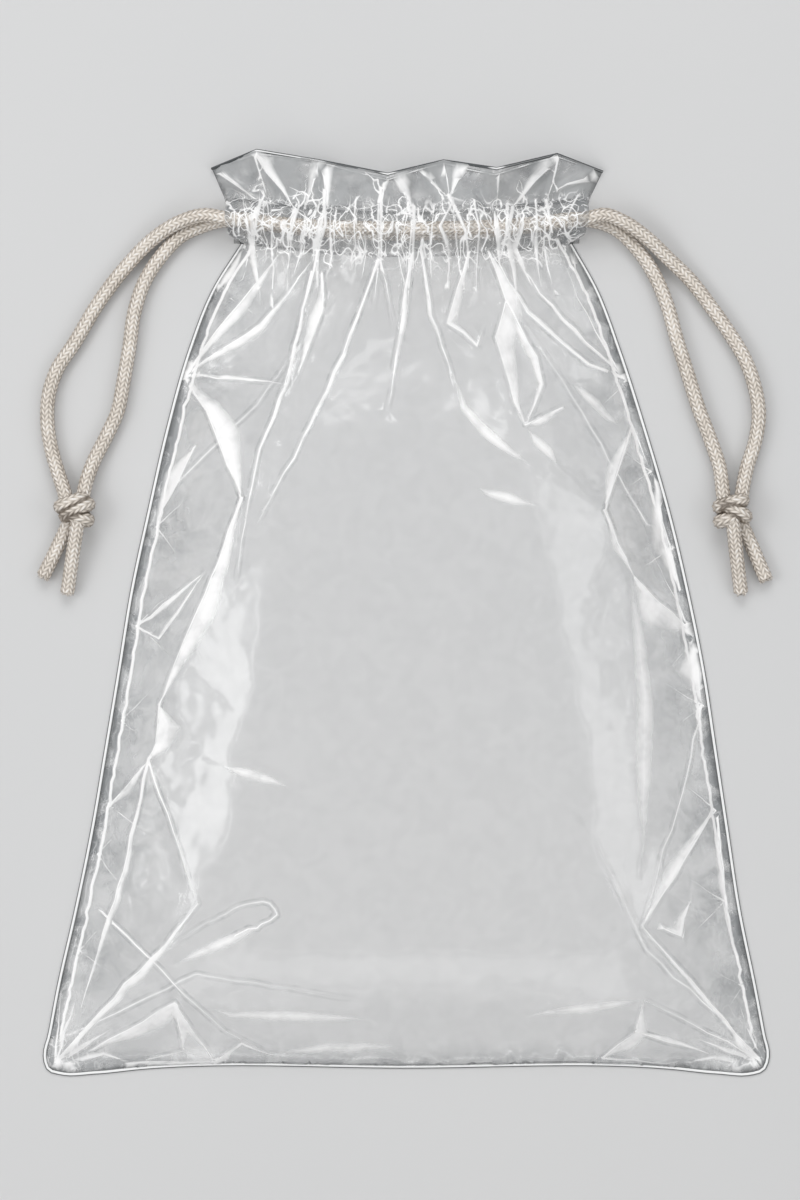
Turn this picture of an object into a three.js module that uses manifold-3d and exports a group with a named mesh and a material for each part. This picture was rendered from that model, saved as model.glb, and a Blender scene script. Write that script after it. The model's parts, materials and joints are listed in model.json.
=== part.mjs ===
// A clear film pouch drawn in at the neck by two cords, lying on its back as it comes to rest.
// Millimetres. +X runs across the pouch, +Y from its bottom fold to its mouth, +Z up.
// The origin is on the table, under the middle of the film.

import * as THREE from 'three';
import { mergeVertices } from 'three/addons/utils/BufferGeometryUtils.js';
import Module from 'manifold-3d';

const wasm = await Module();
wasm.setup();

// Outline of the film
const BAG_LENGTH = 304; // bottom fold to the highest point of the ruffle
const BAG_WIDTH = 242; // across the bottom, over both side welds, before its corners are rounded
const WAIST_WIDTH = 110; // drawn in just under the cord channels
const NECK_WIDTH = 120; // along the cord channels, open end to open end
const RUFFLE_WIDTH = 130; // across the corners of the top edge
const RUFFLE_HEIGHT = 14.5; // top of the channels to the top edge
const CHANNEL_HEIGHT = 15; // between the two weld lines of a cord channel
const CHANNEL_SAG = 4.5; // the middle of the neck hangs below its ends
const SAG_FADE = 8; // the higher, the sooner that sag is lost below the channels
const NECK_STEP = 0.3; // share of the channels' height where the waist widens to the neck
const SEAM_FLARE = 0.66; // under 1, the side seams spread fastest near the neck
const CORNER_RADIUS = 6;
const CORNER_DIP = 2; // the bottom corners reach below the bottom fold
const CORNER_DIP_START = 0.7; // place across, from 0 to 1, where the bottom edge starts down
const CORNER_DIP_RISE = 0.2; // share of the body's length where the dip is lost

// Film and welds
const FILM = 0.2;
const WELD_WIDTH = 4; // side seams, two films thick
const FOLD_SHARE = 0.4; // share of the lowest row that the bottom fold takes up
const CHANNEL_FULLNESS = 3; // the higher, the more a channel's section fills its height

// Air in the pouch
const PUFF = 26; // height of the front panel's flat middle over the back panel
const SHOULDER = 48; // width of the slope between a seam and the flat middle
const CROWN = 4; // the middle swells a little more
const MOUTH_GAP = 12; // between the two inner channel walls, in the middle of the neck
const NECK_BLEND = 0.72; // share of the body's length where the panel starts down to the neck

// Gathers
const PLEATS = 9;
const COLUMNS_PER_PLEAT = 4;
const CHANNEL_PLEAT = 1.6; // height of the pleats over the cord
const GATHER_HEIGHT = 6; // height of the pleats just under the channels
const GATHER_RISE = 8; // they reach it this far under the channels
const GATHER_REACH = 40; // and fade over this length
const RUFFLE_PLEAT = 6.5; // at the top edge, on the front
const RUFFLE_BACK_PLEAT = 4.5; // at the top edge, on the back
const PLEAT_STRENGTHS = [0.75, 1, 0.6, 0.95, 0.8, 1, 0.65, 1, 0.8];
const PLEAT_REACHES = [1.5, 0.8, 1.7, 1, 0.7, 0.9, 1.3, 0.8, 1.6];

// Rows of the film's grid, from the bottom fold to the top edge
const BODY_ROWS = 23;
const CHANNEL_ROWS = 6;
const RUFFLE_ROWS = 3;
const ROW_CROWDING = 0.6; // 0 is even rows, 1 crowds them at both ends of their zone

// Cords
const CORD_DIAMETER = 5;
const CORD_CLEARANCE = 0.6; // round the cord, in its channel
const CORD_SIDES = 10;
const CORD_STEP = 10; // length of one straight stretch of a cord's solid
const CHANNEL_STOPS = 16; // stretches of a cord's route inside its channel
const SEAT_GAP = 0.3; // between a cord's end and its knot
const CHANNEL_TUNNEL = CORD_DIAMETER + 2 * CORD_CLEARANCE;

// Knots, tied in both cords at once
const KNOT_LOOP_RADIUS = 4.2; // middle of a turn round the two cords
const KNOT_FLATNESS = 0.8; // height over width
const KNOT_TILT = THREE.MathUtils.degToRad(26);
const KNOT_SPREAD = 1.4; // each turn lies this far from the knot's middle, along the cords
const KNOT_TURN_STEPS = 22;
const KNOT_CORE_WIDTH = KNOT_LOOP_RADIUS + CORD_DIAMETER / 4; // half widths of the cords inside the turns
const KNOT_CORE_LENGTH = KNOT_SPREAD + (3 * CORD_DIAMETER) / 4;
const KNOT_CORE_SIDES = 16;
const KNOT_CORE_RINGS = 10;
const KNOT_HEIGHT = KNOT_FLATNESS * (2 * KNOT_LOOP_RADIUS + CORD_DIAMETER);

const BODY_LENGTH = BAG_LENGTH - RUFFLE_HEIGHT - CHANNEL_HEIGHT;
const COLUMNS = PLEATS * COLUMNS_PER_PLEAT + 2;

// Top edge: place across the ruffle from -1 to 1, and share of the deepest dip below the highest point
const TOP_EDGE_DIP = 7.4;
const TOP_EDGE = [
  [-1, 0.64],
  [-0.72, 0],
  [-0.42, 0.27],
  [-0.1, 1],
  [0.19, 0.38],
  [0.44, 0.76],
  [0.76, 0.11],
  [1, 0.7],
];

// Folds pressed in the front panel: start and end as places across the width (-1 to 1) and along the
// body (0 to 1), then the share of a full fold's height. A ridge is positive, a dent negative.
const FOLD_HEIGHT = 5;
const FOLD_WIDTH = 12; // from the line of a fold to its foot
const FOLD_FOOT = 0.5; // share of the puff's slope, up from the seam, where a fold has its full height
const DENT_FLOOR = 0.25; // share of the space between the panels that a dent leaves
const FOLDS = [
  [-0.97, 0.84, -0.54, 0.83, 1],
  [-0.54, 0.83, -0.63, 0.69, 0.8],
  [-0.97, 0.67, -0.7, 0.76, 0.9],
  [-0.95, 0.52, -0.68, 0.58, 0.8],
  [-0.95, 0.33, -0.72, 0.38, 1],
  [-0.72, 0.38, -0.57, 0.21, 0.7],
  [-0.97, 0.04, -0.62, 0.21, 1],
  [-0.97, 0.04, -0.6, 0.09, 0.8],
  [-0.97, 0.04, -0.52, 0.02, -0.8],
  [0.97, 0.84, 0.72, 0.93, 1],
  [0.92, 0.71, 0.74, 0.67, 0.9],
  [0.97, 0.53, 0.77, 0.63, 0.9],
  [0.96, 0.42, 0.8, 0.3, 0.8],
  [0.96, 0.31, 0.72, 0.22, 1],
  [0.97, 0.04, 0.69, 0.19, 1],
  [0.97, 0.04, 0.64, 0.1, 0.8],
  [0.97, 0.04, 0.55, 0.02, -0.8],
];

// Cord routes, from a channel's end to a knot: across, along and height of the middle of the cord.
// Across and along are counted from the channel's end.
const LEFT_FRONT_ROUTE = [
  [-6.5, 1.2, 8.6],
  [-15.2, -0.9, 6.3],
  [-24.2, -6.3, 4],
  [-33.2, -15.3, 2.8],
  [-42.2, -27, 2.6],
  [-50.8, -41.3, 2.6],
  [-56.5, -50, 2.6],
  [-59.2, -59, 2.6],
  [-59.5, -67, 2.6],
  [-58.2, -76, 2.6],
  [-55.9, -84, 3],
  [-53.6, -91, 4.4],
  [-52.8, -95, 5.2],
];
const LEFT_BACK_ROUTE = [
  [-8.2, -2, 2.9],
  [-15.2, -5.3, 2.7],
  [-21.5, -11.7, 2.6],
  [-26.8, -19.7, 2.6],
  [-30.5, -30.3, 2.6],
  [-32.2, -42, 2.6],
  [-34.2, -53.7, 2.6],
  [-36.2, -63.7, 2.6],
  [-39.8, -71.7, 2.6],
  [-44.4, -81, 3.2],
  [-47.1, -90, 4.8],
  [-47.7, -95, 5.2],
];
const RIGHT_FRONT_ROUTE = [
  [5.5, 1.2, 9.2],
  [11.8, -1, 8.3],
  [19.8, -6.3, 6.4],
  [26.8, -12.7, 4.2],
  [34.2, -19.7, 2.8],
  [41.2, -28.7, 2.6],
  [47.5, -37.7, 2.6],
  [52.8, -46.7, 2.6],
  [55.8, -55.3, 2.6],
  [57.2, -64.3, 2.6],
  [56, -73.3, 2.6],
  [53.2, -82.3, 3],
  [51.4, -91, 4.6],
  [50.9, -95, 5.2],
];
const RIGHT_BACK_ROUTE = [
  [9.2, -2.7, 2.9],
  [16.2, -9, 2.7],
  [21.8, -17, 2.6],
  [26.5, -27.7, 2.6],
  [29.8, -39.3, 2.6],
  [33.5, -51, 2.6],
  [37.2, -62.7, 2.6],
  [41.2, -73.3, 2.6],
  [44.1, -82.3, 3],
  [45.1, -91, 4.6],
  [45.6, -95, 5.2],
];

// Middles of the knots, and the cut tails below them, counted from the channel's end as well
const LEFT_KNOT = [-50.2, -96.3];
const RIGHT_KNOT = [48.2, -96.6];
const LEFT_FRONT_TAIL = [
  [-51, -98, 4.2],
  [-56, -108.5, 2.8],
  [-60.8, -118.3, 2.6],
];
const LEFT_BACK_TAIL = [
  [-48.6, -98.5, 8.6],
  [-50.6, -110, 6],
  [-52.8, -123.7, 2.8],
];
const RIGHT_FRONT_TAIL = [
  [47.9, -98.8, 8.6],
  [49.3, -110, 6],
  [51.2, -123.7, 2.8],
];
const RIGHT_BACK_TAIL = [
  [50, -98, 4.2],
  [54.9, -108.6, 2.8],
  [59.5, -119.3, 2.6],
];

const { lerp, smoothstep, clamp } = THREE.MathUtils;

// Value of a line through [place, value] points, at one place.
function alongLine(points, place) {
  let value = points[0][1];
  for (let i = 1; i < points.length; i += 1) {
    const [before, from] = points[i - 1];
    const [after, to] = points[i];
    if (place >= before) {
      value = lerp(from, to, clamp((place - before) / (after - before), 0, 1));
    }
  }
  return value;
}

// Share of the full height on a rounded slope, 0 at its foot and 1 from its top on.
function slope(distance, width) {
  const t = clamp(distance / width, 0, 1);
  return 1 - (1 - t) ** 2;
}

// Rows crowd together at both ends of their zone, where the film bends most.
function zoneRows(zone, count, first) {
  const rows = [];
  for (let i = first; i <= count; i += 1) {
    const even = i / count;
    const crowded = (1 - Math.cos(Math.PI * even)) / 2;
    rows.push({ zone, t: lerp(even, crowded, ROW_CROWDING) });
  }
  return rows;
}

const ROWS = [
  ...zoneRows('body', BODY_ROWS, 0),
  ...zoneRows('channel', CHANNEL_ROWS, 1),
  ...zoneRows('ruffle', RUFFLE_ROWS, 1),
];
const CHANNEL_START = BODY_ROWS;
const CHANNEL_END = BODY_ROWS + CHANNEL_ROWS;

// Place of a column across the film between the two side welds, -1 to 1.
function across(column) {
  return clamp(-1 + (2 * (column - 1)) / (COLUMNS - 2), -1, 1);
}

function halfWidth({ zone, t }) {
  if (zone === 'body') {
    return WAIST_WIDTH / 2 + ((BAG_WIDTH - WAIST_WIDTH) / 2) * (1 - t) ** SEAM_FLARE;
  }
  if (zone === 'channel') {
    return lerp(WAIST_WIDTH, NECK_WIDTH, smoothstep(t, 0, NECK_STEP)) / 2;
  }
  return lerp(NECK_WIDTH, RUFFLE_WIDTH, t) / 2;
}

function neckSag(a) {
  return CHANNEL_SAG * (1 - a * a);
}

// Pulls a square bottom corner in to a round one.
function roundCorner(x, y) {
  const fromSide = Math.abs(x) - (BAG_WIDTH / 2 - CORNER_RADIUS);
  const fromBottom = CORNER_RADIUS - y;
  if (fromSide <= 0 || fromBottom <= 0) {
    return [x, y];
  }
  const pull = Math.max(fromSide, fromBottom) / Math.hypot(fromSide, fromBottom);
  const middle = BAG_WIDTH / 2 - CORNER_RADIUS;
  return [Math.sign(x) * (middle + fromSide * pull), CORNER_RADIUS - fromBottom * pull];
}

// Place of one grid point on the table.
function planPoint(row, column) {
  const a = across(column);
  const side = Math.sign(column - COLUMNS / 2);
  const half = halfWidth(row);
  const onEdge = column <= 0 || column >= COLUMNS;
  const x = onEdge ? side * half : a * (half - WELD_WIDTH);
  const channelTop = BODY_LENGTH + CHANNEL_HEIGHT - neckSag(a);
  if (row.zone === 'channel') {
    return [x, channelTop - (1 - row.t) * CHANNEL_HEIGHT];
  }
  if (row.zone === 'ruffle') {
    return [x, lerp(channelTop, BAG_LENGTH - TOP_EDGE_DIP * alongLine(TOP_EDGE, a), row.t)];
  }
  const [cornerX, cornerY] = roundCorner(x, row.t * BODY_LENGTH);
  const dip = CORNER_DIP * smoothstep(Math.abs(a), CORNER_DIP_START, 1) * (1 - slope(row.t, CORNER_DIP_RISE));
  return [cornerX, cornerY - dip - neckSag(a) * row.t ** SAG_FADE];
}

// Height of a pleat at one place across the film, 0 in the valleys and up to 1 on the ridges.
function pleat(a, shift = 0) {
  const place = ((a + 1) / 2) * PLEATS + shift;
  const index = Math.floor(place);
  const strength = PLEAT_STRENGTHS[Math.abs(index) % PLEAT_STRENGTHS.length];
  return strength * (1 - Math.abs(2 * (place - index) - 1));
}

function pleatReach(a) {
  const index = Math.floor(((a + 1) / 2) * PLEATS);
  return GATHER_REACH * PLEAT_REACHES[index % PLEAT_REACHES.length];
}

// Opening of the neck: full in the middle, closed at the side welds.
function arch(a) {
  return (1 + Math.cos(Math.PI * a)) / 2;
}

// Height that the pressed folds add to the front panel at one place.
function foldHeight(a, t) {
  const half = halfWidth({ zone: 'body', t });
  const point = new THREE.Vector3(a * half, t * BODY_LENGTH, 0);
  const nearest = new THREE.Vector3();
  let height = 0;
  for (const [a0, t0, a1, t1, share] of FOLDS) {
    const start = new THREE.Vector3(a0 * halfWidth({ zone: 'body', t: t0 }), t0 * BODY_LENGTH, 0);
    const end = new THREE.Vector3(a1 * halfWidth({ zone: 'body', t: t1 }), t1 * BODY_LENGTH, 0);
    new THREE.Line3(start, end).closestPointToPoint(point, true, nearest);
    height += FOLD_HEIGHT * share * Math.max(0, 1 - nearest.distanceTo(point) / FOLD_WIDTH);
  }
  return height;
}

// Space between the back and the front panel in the body of the pouch.
function bodyLift(a, t) {
  const inside = (1 - Math.abs(a)) * (halfWidth({ zone: 'body', t }) - WELD_WIDTH);
  const rounded = slope(inside, SHOULDER) * slope(t * BODY_LENGTH, SHOULDER);
  const puffed = PUFF * rounded + CROWN * (1 - a * a) * Math.sin(Math.PI * t);
  const drawn = arch(a) * (CHANNEL_TUNNEL + MOUTH_GAP);
  const base = lerp(puffed, drawn, smoothstep(t, NECK_BLEND, 1));
  const below = (1 - t) * BODY_LENGTH;
  const growth = 1 - Math.exp(-below / GATHER_RISE);
  const gather = lerp(CHANNEL_PLEAT, GATHER_HEIGHT, growth) * Math.exp(-below / pleatReach(a));
  const folded = base + foldHeight(a, t) * Math.min(rounded / FOLD_FOOT, 1);
  return Math.max(folded, base * DENT_FLOOR) + gather * pleat(a);
}

// The heights of every face of the film at one grid point. A channel's tunnel has no height on its
// two weld lines.
function faces(row, column) {
  const a = across(column);
  if (row.zone === 'body' && row.t < 1) {
    const frontUnder = FILM + bodyLift(a, row.t);
    return { floor: 0, backTop: FILM, frontUnder, frontTop: frontUnder + FILM };
  }
  if (row.zone === 'ruffle') {
    const floor = RUFFLE_BACK_PLEAT * pleat(a, 0.5) * arch(a) * row.t;
    const backTop = floor + 2 * FILM;
    const wave = lerp(CHANNEL_PLEAT, RUFFLE_PLEAT, row.t) * pleat(a);
    const frontUnder = 2 * FILM + arch(a) * (CHANNEL_TUNNEL + MOUTH_GAP) + wave;
    return { floor, backTop, frontUnder, frontTop: frontUnder + 2 * FILM };
  }
  const lens = row.zone === 'body' ? 0 : 1 - Math.abs(2 * row.t - 1) ** CHANNEL_FULLNESS;
  const tunnel = CHANNEL_TUNNEL * lens;
  const backTop = 2 * FILM + tunnel;
  const lift = arch(a) * (MOUTH_GAP + CHANNEL_TUNNEL - tunnel) + CHANNEL_PLEAT * pleat(a) * (1 - lens);
  const frontUnder = backTop + lift;
  const frontTunnelTop = frontUnder + FILM + tunnel + CHANNEL_PLEAT * pleat(a) * lens;
  return {
    floor: 0,
    backTunnelUnder: FILM,
    backTunnelTop: FILM + tunnel,
    backTop,
    frontUnder,
    frontTunnelUnder: frontUnder + FILM,
    frontTunnelTop,
    frontTop: frontTunnelTop + FILM,
  };
}

// A closed solid between a lower and an upper sheet over the same grid of [x, y, low, high] points.
// Where low equals high, the two sheets share a point.
function sheetSolid(grid) {
  const positions = [];
  const lower = [];
  const upper = [];
  const addPoint = (x, y, z) => {
    positions.push(x, y, z);
    return positions.length / 3 - 1;
  };
  for (const line of grid) {
    const lowLine = [];
    const highLine = [];
    for (const [x, y, low, high] of line) {
      const lowIndex = addPoint(x, y, low);
      lowLine.push(lowIndex);
      highLine.push(high > low ? addPoint(x, y, high) : lowIndex);
    }
    lower.push(lowLine);
    upper.push(highLine);
  }
  const triangles = [];
  const addTriangle = (p, q, r) => {
    if (p !== q && q !== r && r !== p) {
      triangles.push(p, q, r);
    }
  };
  const addQuad = (p, q, r, s) => {
    addTriangle(p, q, r);
    addTriangle(p, r, s);
  };
  const rowCount = grid.length - 1;
  const columnCount = grid[0].length - 1;
  for (let i = 0; i < rowCount; i += 1) {
    for (let j = 0; j < columnCount; j += 1) {
      addQuad(upper[i][j], upper[i][j + 1], upper[i + 1][j + 1], upper[i + 1][j]);
      addTriangle(lower[i][j], lower[i + 1][j + 1], lower[i][j + 1]);
      addTriangle(lower[i][j], lower[i + 1][j], lower[i + 1][j + 1]);
    }
  }
  for (let j = 0; j < columnCount; j += 1) {
    addQuad(lower[0][j], lower[0][j + 1], upper[0][j + 1], upper[0][j]);
    addQuad(lower[rowCount][j + 1], lower[rowCount][j], upper[rowCount][j], upper[rowCount][j + 1]);
  }
  for (let i = 0; i < rowCount; i += 1) {
    addQuad(lower[i + 1][0], lower[i][0], upper[i][0], upper[i + 1][0]);
    const last = columnCount;
    addQuad(lower[i][last], lower[i + 1][last], upper[i + 1][last], upper[i][last]);
  }
  const mesh = {
    numProp: 3,
    vertProperties: new Float32Array(positions),
    triVerts: new Uint32Array(triangles),
  };
  return new wasm.Manifold(new wasm.Mesh(mesh));
}

function columnNumbers(first, last) {
  return Array.from({ length: last - first + 1 }, (unused, i) => first + i);
}

// The outside of the pouch, from the table to the top of the front panel.
function outerSolid() {
  const line = (row) =>
    columnNumbers(0, COLUMNS).map((column) => {
      const { floor, frontTop } = faces(row, column);
      return [...planPoint(row, column), floor, frontTop];
    });
  return sheetSolid(ROWS.map(line));
}

// The space inside, between the side welds, from the bottom fold out through the mouth.
function insideSolid() {
  const reach = RUFFLE_HEIGHT;
  const line = (row, index) =>
    columnNumbers(1, COLUMNS - 1).map((column) => {
      const [x, y] = planPoint(row, column);
      const { backTop, frontUnder } = faces(row, column);
      if (index > 0) {
        return [x, y, backTop, frontUnder];
      }
      const [nextX, nextY] = planPoint(ROWS[1], column);
      return [lerp(x, nextX, FOLD_SHARE), lerp(y, nextY, FOLD_SHARE), backTop, backTop];
    });
  const lines = ROWS.map(line);
  const mouth = lines[lines.length - 1];
  lines.push(mouth.map(([x, y, low, high]) => [x, y + reach, low, high]));
  return sheetSolid(lines);
}

// The tunnel of one cord channel, run out past both open ends.
function tunnelSolid(underName, topName) {
  const overrun = WELD_WIDTH;
  const line = (row) => {
    const points = columnNumbers(0, COLUMNS).map((column) => {
      const heights = faces(row, column);
      return [...planPoint(row, column), heights[underName], heights[topName]];
    });
    const [leftX, ...left] = points[0];
    const [rightX, ...right] = points[COLUMNS];
    return [[leftX - overrun, ...left], ...points, [rightX + overrun, ...right]];
  };
  return sheetSolid(ROWS.slice(CHANNEL_START, CHANNEL_END + 1).map(line));
}

function toSolid(geometry) {
  const bare = geometry.clone();
  bare.deleteAttribute('normal');
  bare.deleteAttribute('uv');
  const merged = mergeVertices(bare);
  const mesh = {
    numProp: 3,
    vertProperties: new Float32Array(merged.attributes.position.array),
    triVerts: new Uint32Array(merged.index.array),
  };
  return new wasm.Manifold(new wasm.Mesh(mesh));
}

function toGeometry(solid) {
  const { vertProperties, triVerts } = solid.getMesh();
  const geometry = new THREE.BufferGeometry();
  geometry.setAttribute('position', new THREE.BufferAttribute(vertProperties, 3));
  geometry.setIndex(new THREE.BufferAttribute(triVerts, 1));
  geometry.computeVertexNormals();
  return geometry;
}

function filmSolid() {
  return outerSolid()
    .subtract(insideSolid())
    .subtract(tunnelSolid('backTunnelUnder', 'backTunnelTop'))
    .subtract(tunnelSolid('frontTunnelUnder', 'frontTunnelTop'));
}

// Middle line of a cord inside its channel, from the left end to the right end.
function channelLine(isFront) {
  const half = NECK_WIDTH / 2;
  return columnNumbers(0, CHANNEL_STOPS).map((stop) => {
    const x = lerp(-half, half, stop / CHANNEL_STOPS);
    const a = clamp(x / (half - WELD_WIDTH), -1, 1);
    const back = FILM + CHANNEL_TUNNEL / 2;
    const front = back + 2 * FILM + CHANNEL_TUNNEL + arch(a) * MOUTH_GAP;
    return new THREE.Vector3(x, channelMiddle() - neckSag(a), isFront ? front : back);
  });
}

function channelMiddle() {
  return BODY_LENGTH + CHANNEL_HEIGHT / 2;
}

// Route points counted from one end of the channels, as places on the table.
function fromChannelEnd(side, points) {
  const endX = (side * NECK_WIDTH) / 2;
  return points.map(([x, y, z]) => new THREE.Vector3(endX + x, channelMiddle() + y, z));
}

// A round cord along a smooth line through the given points.
function cordGeometry(points) {
  const section = new THREE.Shape();
  section.absarc(0, 0, CORD_DIAMETER / 2, 0, 2 * Math.PI);
  const path = new THREE.CatmullRomCurve3(points, false, 'centripetal');
  const steps = Math.max(2, Math.round(path.getLength() / CORD_STEP));
  return new THREE.ExtrudeGeometry(section, {
    steps,
    curveSegments: CORD_SIDES / 2,
    bevelEnabled: false,
    extrudePath: path,
  });
}

// Two tilted turns of cord round a full core. Extra thickness on all sides gives the seat's clearance.
function knotSolid(side, middle, extra = 0) {
  const [middleX, middleY] = middle;
  const core = new THREE.SphereGeometry(1, KNOT_CORE_SIDES, KNOT_CORE_RINGS);
  const coreWidth = KNOT_CORE_WIDTH + extra;
  core.scale(coreWidth, KNOT_CORE_LENGTH + extra, coreWidth * KNOT_FLATNESS);
  let solid = toSolid(core);
  for (const end of [-1, 1]) {
    const thickness = CORD_DIAMETER / 2 + extra;
    const turn = new THREE.TorusGeometry(KNOT_LOOP_RADIUS, thickness, CORD_SIDES, KNOT_TURN_STEPS);
    turn.rotateX(Math.PI / 2);
    turn.rotateZ(end * KNOT_TILT);
    turn.translate(0, end * KNOT_SPREAD, 0);
    turn.scale(1, 1, KNOT_FLATNESS);
    solid = solid.add(toSolid(turn));
  }
  const endX = (side * NECK_WIDTH) / 2;
  return solid.translate([endX + middleX, channelMiddle() + middleY, KNOT_HEIGHT / 2]);
}

const FILM_MATERIAL = new THREE.MeshStandardMaterial({
  color: 0xeef0f0,
  roughness: 0.12,
  metalness: 0,
  transparent: true,
  opacity: 0.35,
});
const CORD_MATERIAL = new THREE.MeshStandardMaterial({ color: 0xe6dccb, roughness: 0.75, metalness: 0 });

function namedMesh(name, solid, material) {
  const mesh = new THREE.Mesh(toGeometry(solid), material.clone());
  mesh.name = name;
  return mesh;
}

const LEFT = -1;
const RIGHT = 1;
const leftSeat = knotSolid(LEFT, LEFT_KNOT, SEAT_GAP);
const rightSeat = knotSolid(RIGHT, RIGHT_KNOT, SEAT_GAP);

// A cord from its left knot, through its channel, to its right knot.
function cordSolid(leftRoute, rightRoute, isFront) {
  const points = [
    ...fromChannelEnd(LEFT, leftRoute).reverse(),
    ...channelLine(isFront),
    ...fromChannelEnd(RIGHT, rightRoute),
  ];
  return toSolid(cordGeometry(points)).subtract(leftSeat).subtract(rightSeat);
}

function tailSolid(side, route, seat) {
  return toSolid(cordGeometry(fromChannelEnd(side, route))).subtract(seat);
}

const film = new THREE.Group();
film.add(namedMesh('bag_film', filmSolid(), FILM_MATERIAL));

const cords = new THREE.Group();
cords.add(namedMesh('front_cord', cordSolid(LEFT_FRONT_ROUTE, RIGHT_FRONT_ROUTE, true), CORD_MATERIAL));
cords.add(namedMesh('back_cord', cordSolid(LEFT_BACK_ROUTE, RIGHT_BACK_ROUTE, false), CORD_MATERIAL));
cords.add(namedMesh('left_knot', knotSolid(LEFT, LEFT_KNOT), CORD_MATERIAL));
cords.add(namedMesh('right_knot', knotSolid(RIGHT, RIGHT_KNOT), CORD_MATERIAL));
cords.add(namedMesh('left_front_tail', tailSolid(LEFT, LEFT_FRONT_TAIL, leftSeat), CORD_MATERIAL));
cords.add(namedMesh('left_back_tail', tailSolid(LEFT, LEFT_BACK_TAIL, leftSeat), CORD_MATERIAL));
cords.add(namedMesh('right_front_tail', tailSolid(RIGHT, RIGHT_FRONT_TAIL, rightSeat), CORD_MATERIAL));
cords.add(namedMesh('right_back_tail', tailSolid(RIGHT, RIGHT_BACK_TAIL, rightSeat), CORD_MATERIAL));

const pouch = new THREE.Group();
pouch.add(film, cords);
pouch.position.y = -(BAG_LENGTH - CORNER_DIP) / 2;

export default pouch;
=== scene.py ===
# %% [markdown]
# # A clear drawstring bag
# The bag is a pouch of clear film that lies on its back. Its neck is drawn in by two braided
# cords, and their ends are tied together at each side. This lesson dresses the plain solids of
# the part: every piece is made in metres, in the solids' own frame, so it lands where it belongs.
# The order is stage, camera, cords, film, and last the declarations that say what is soft.

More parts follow.
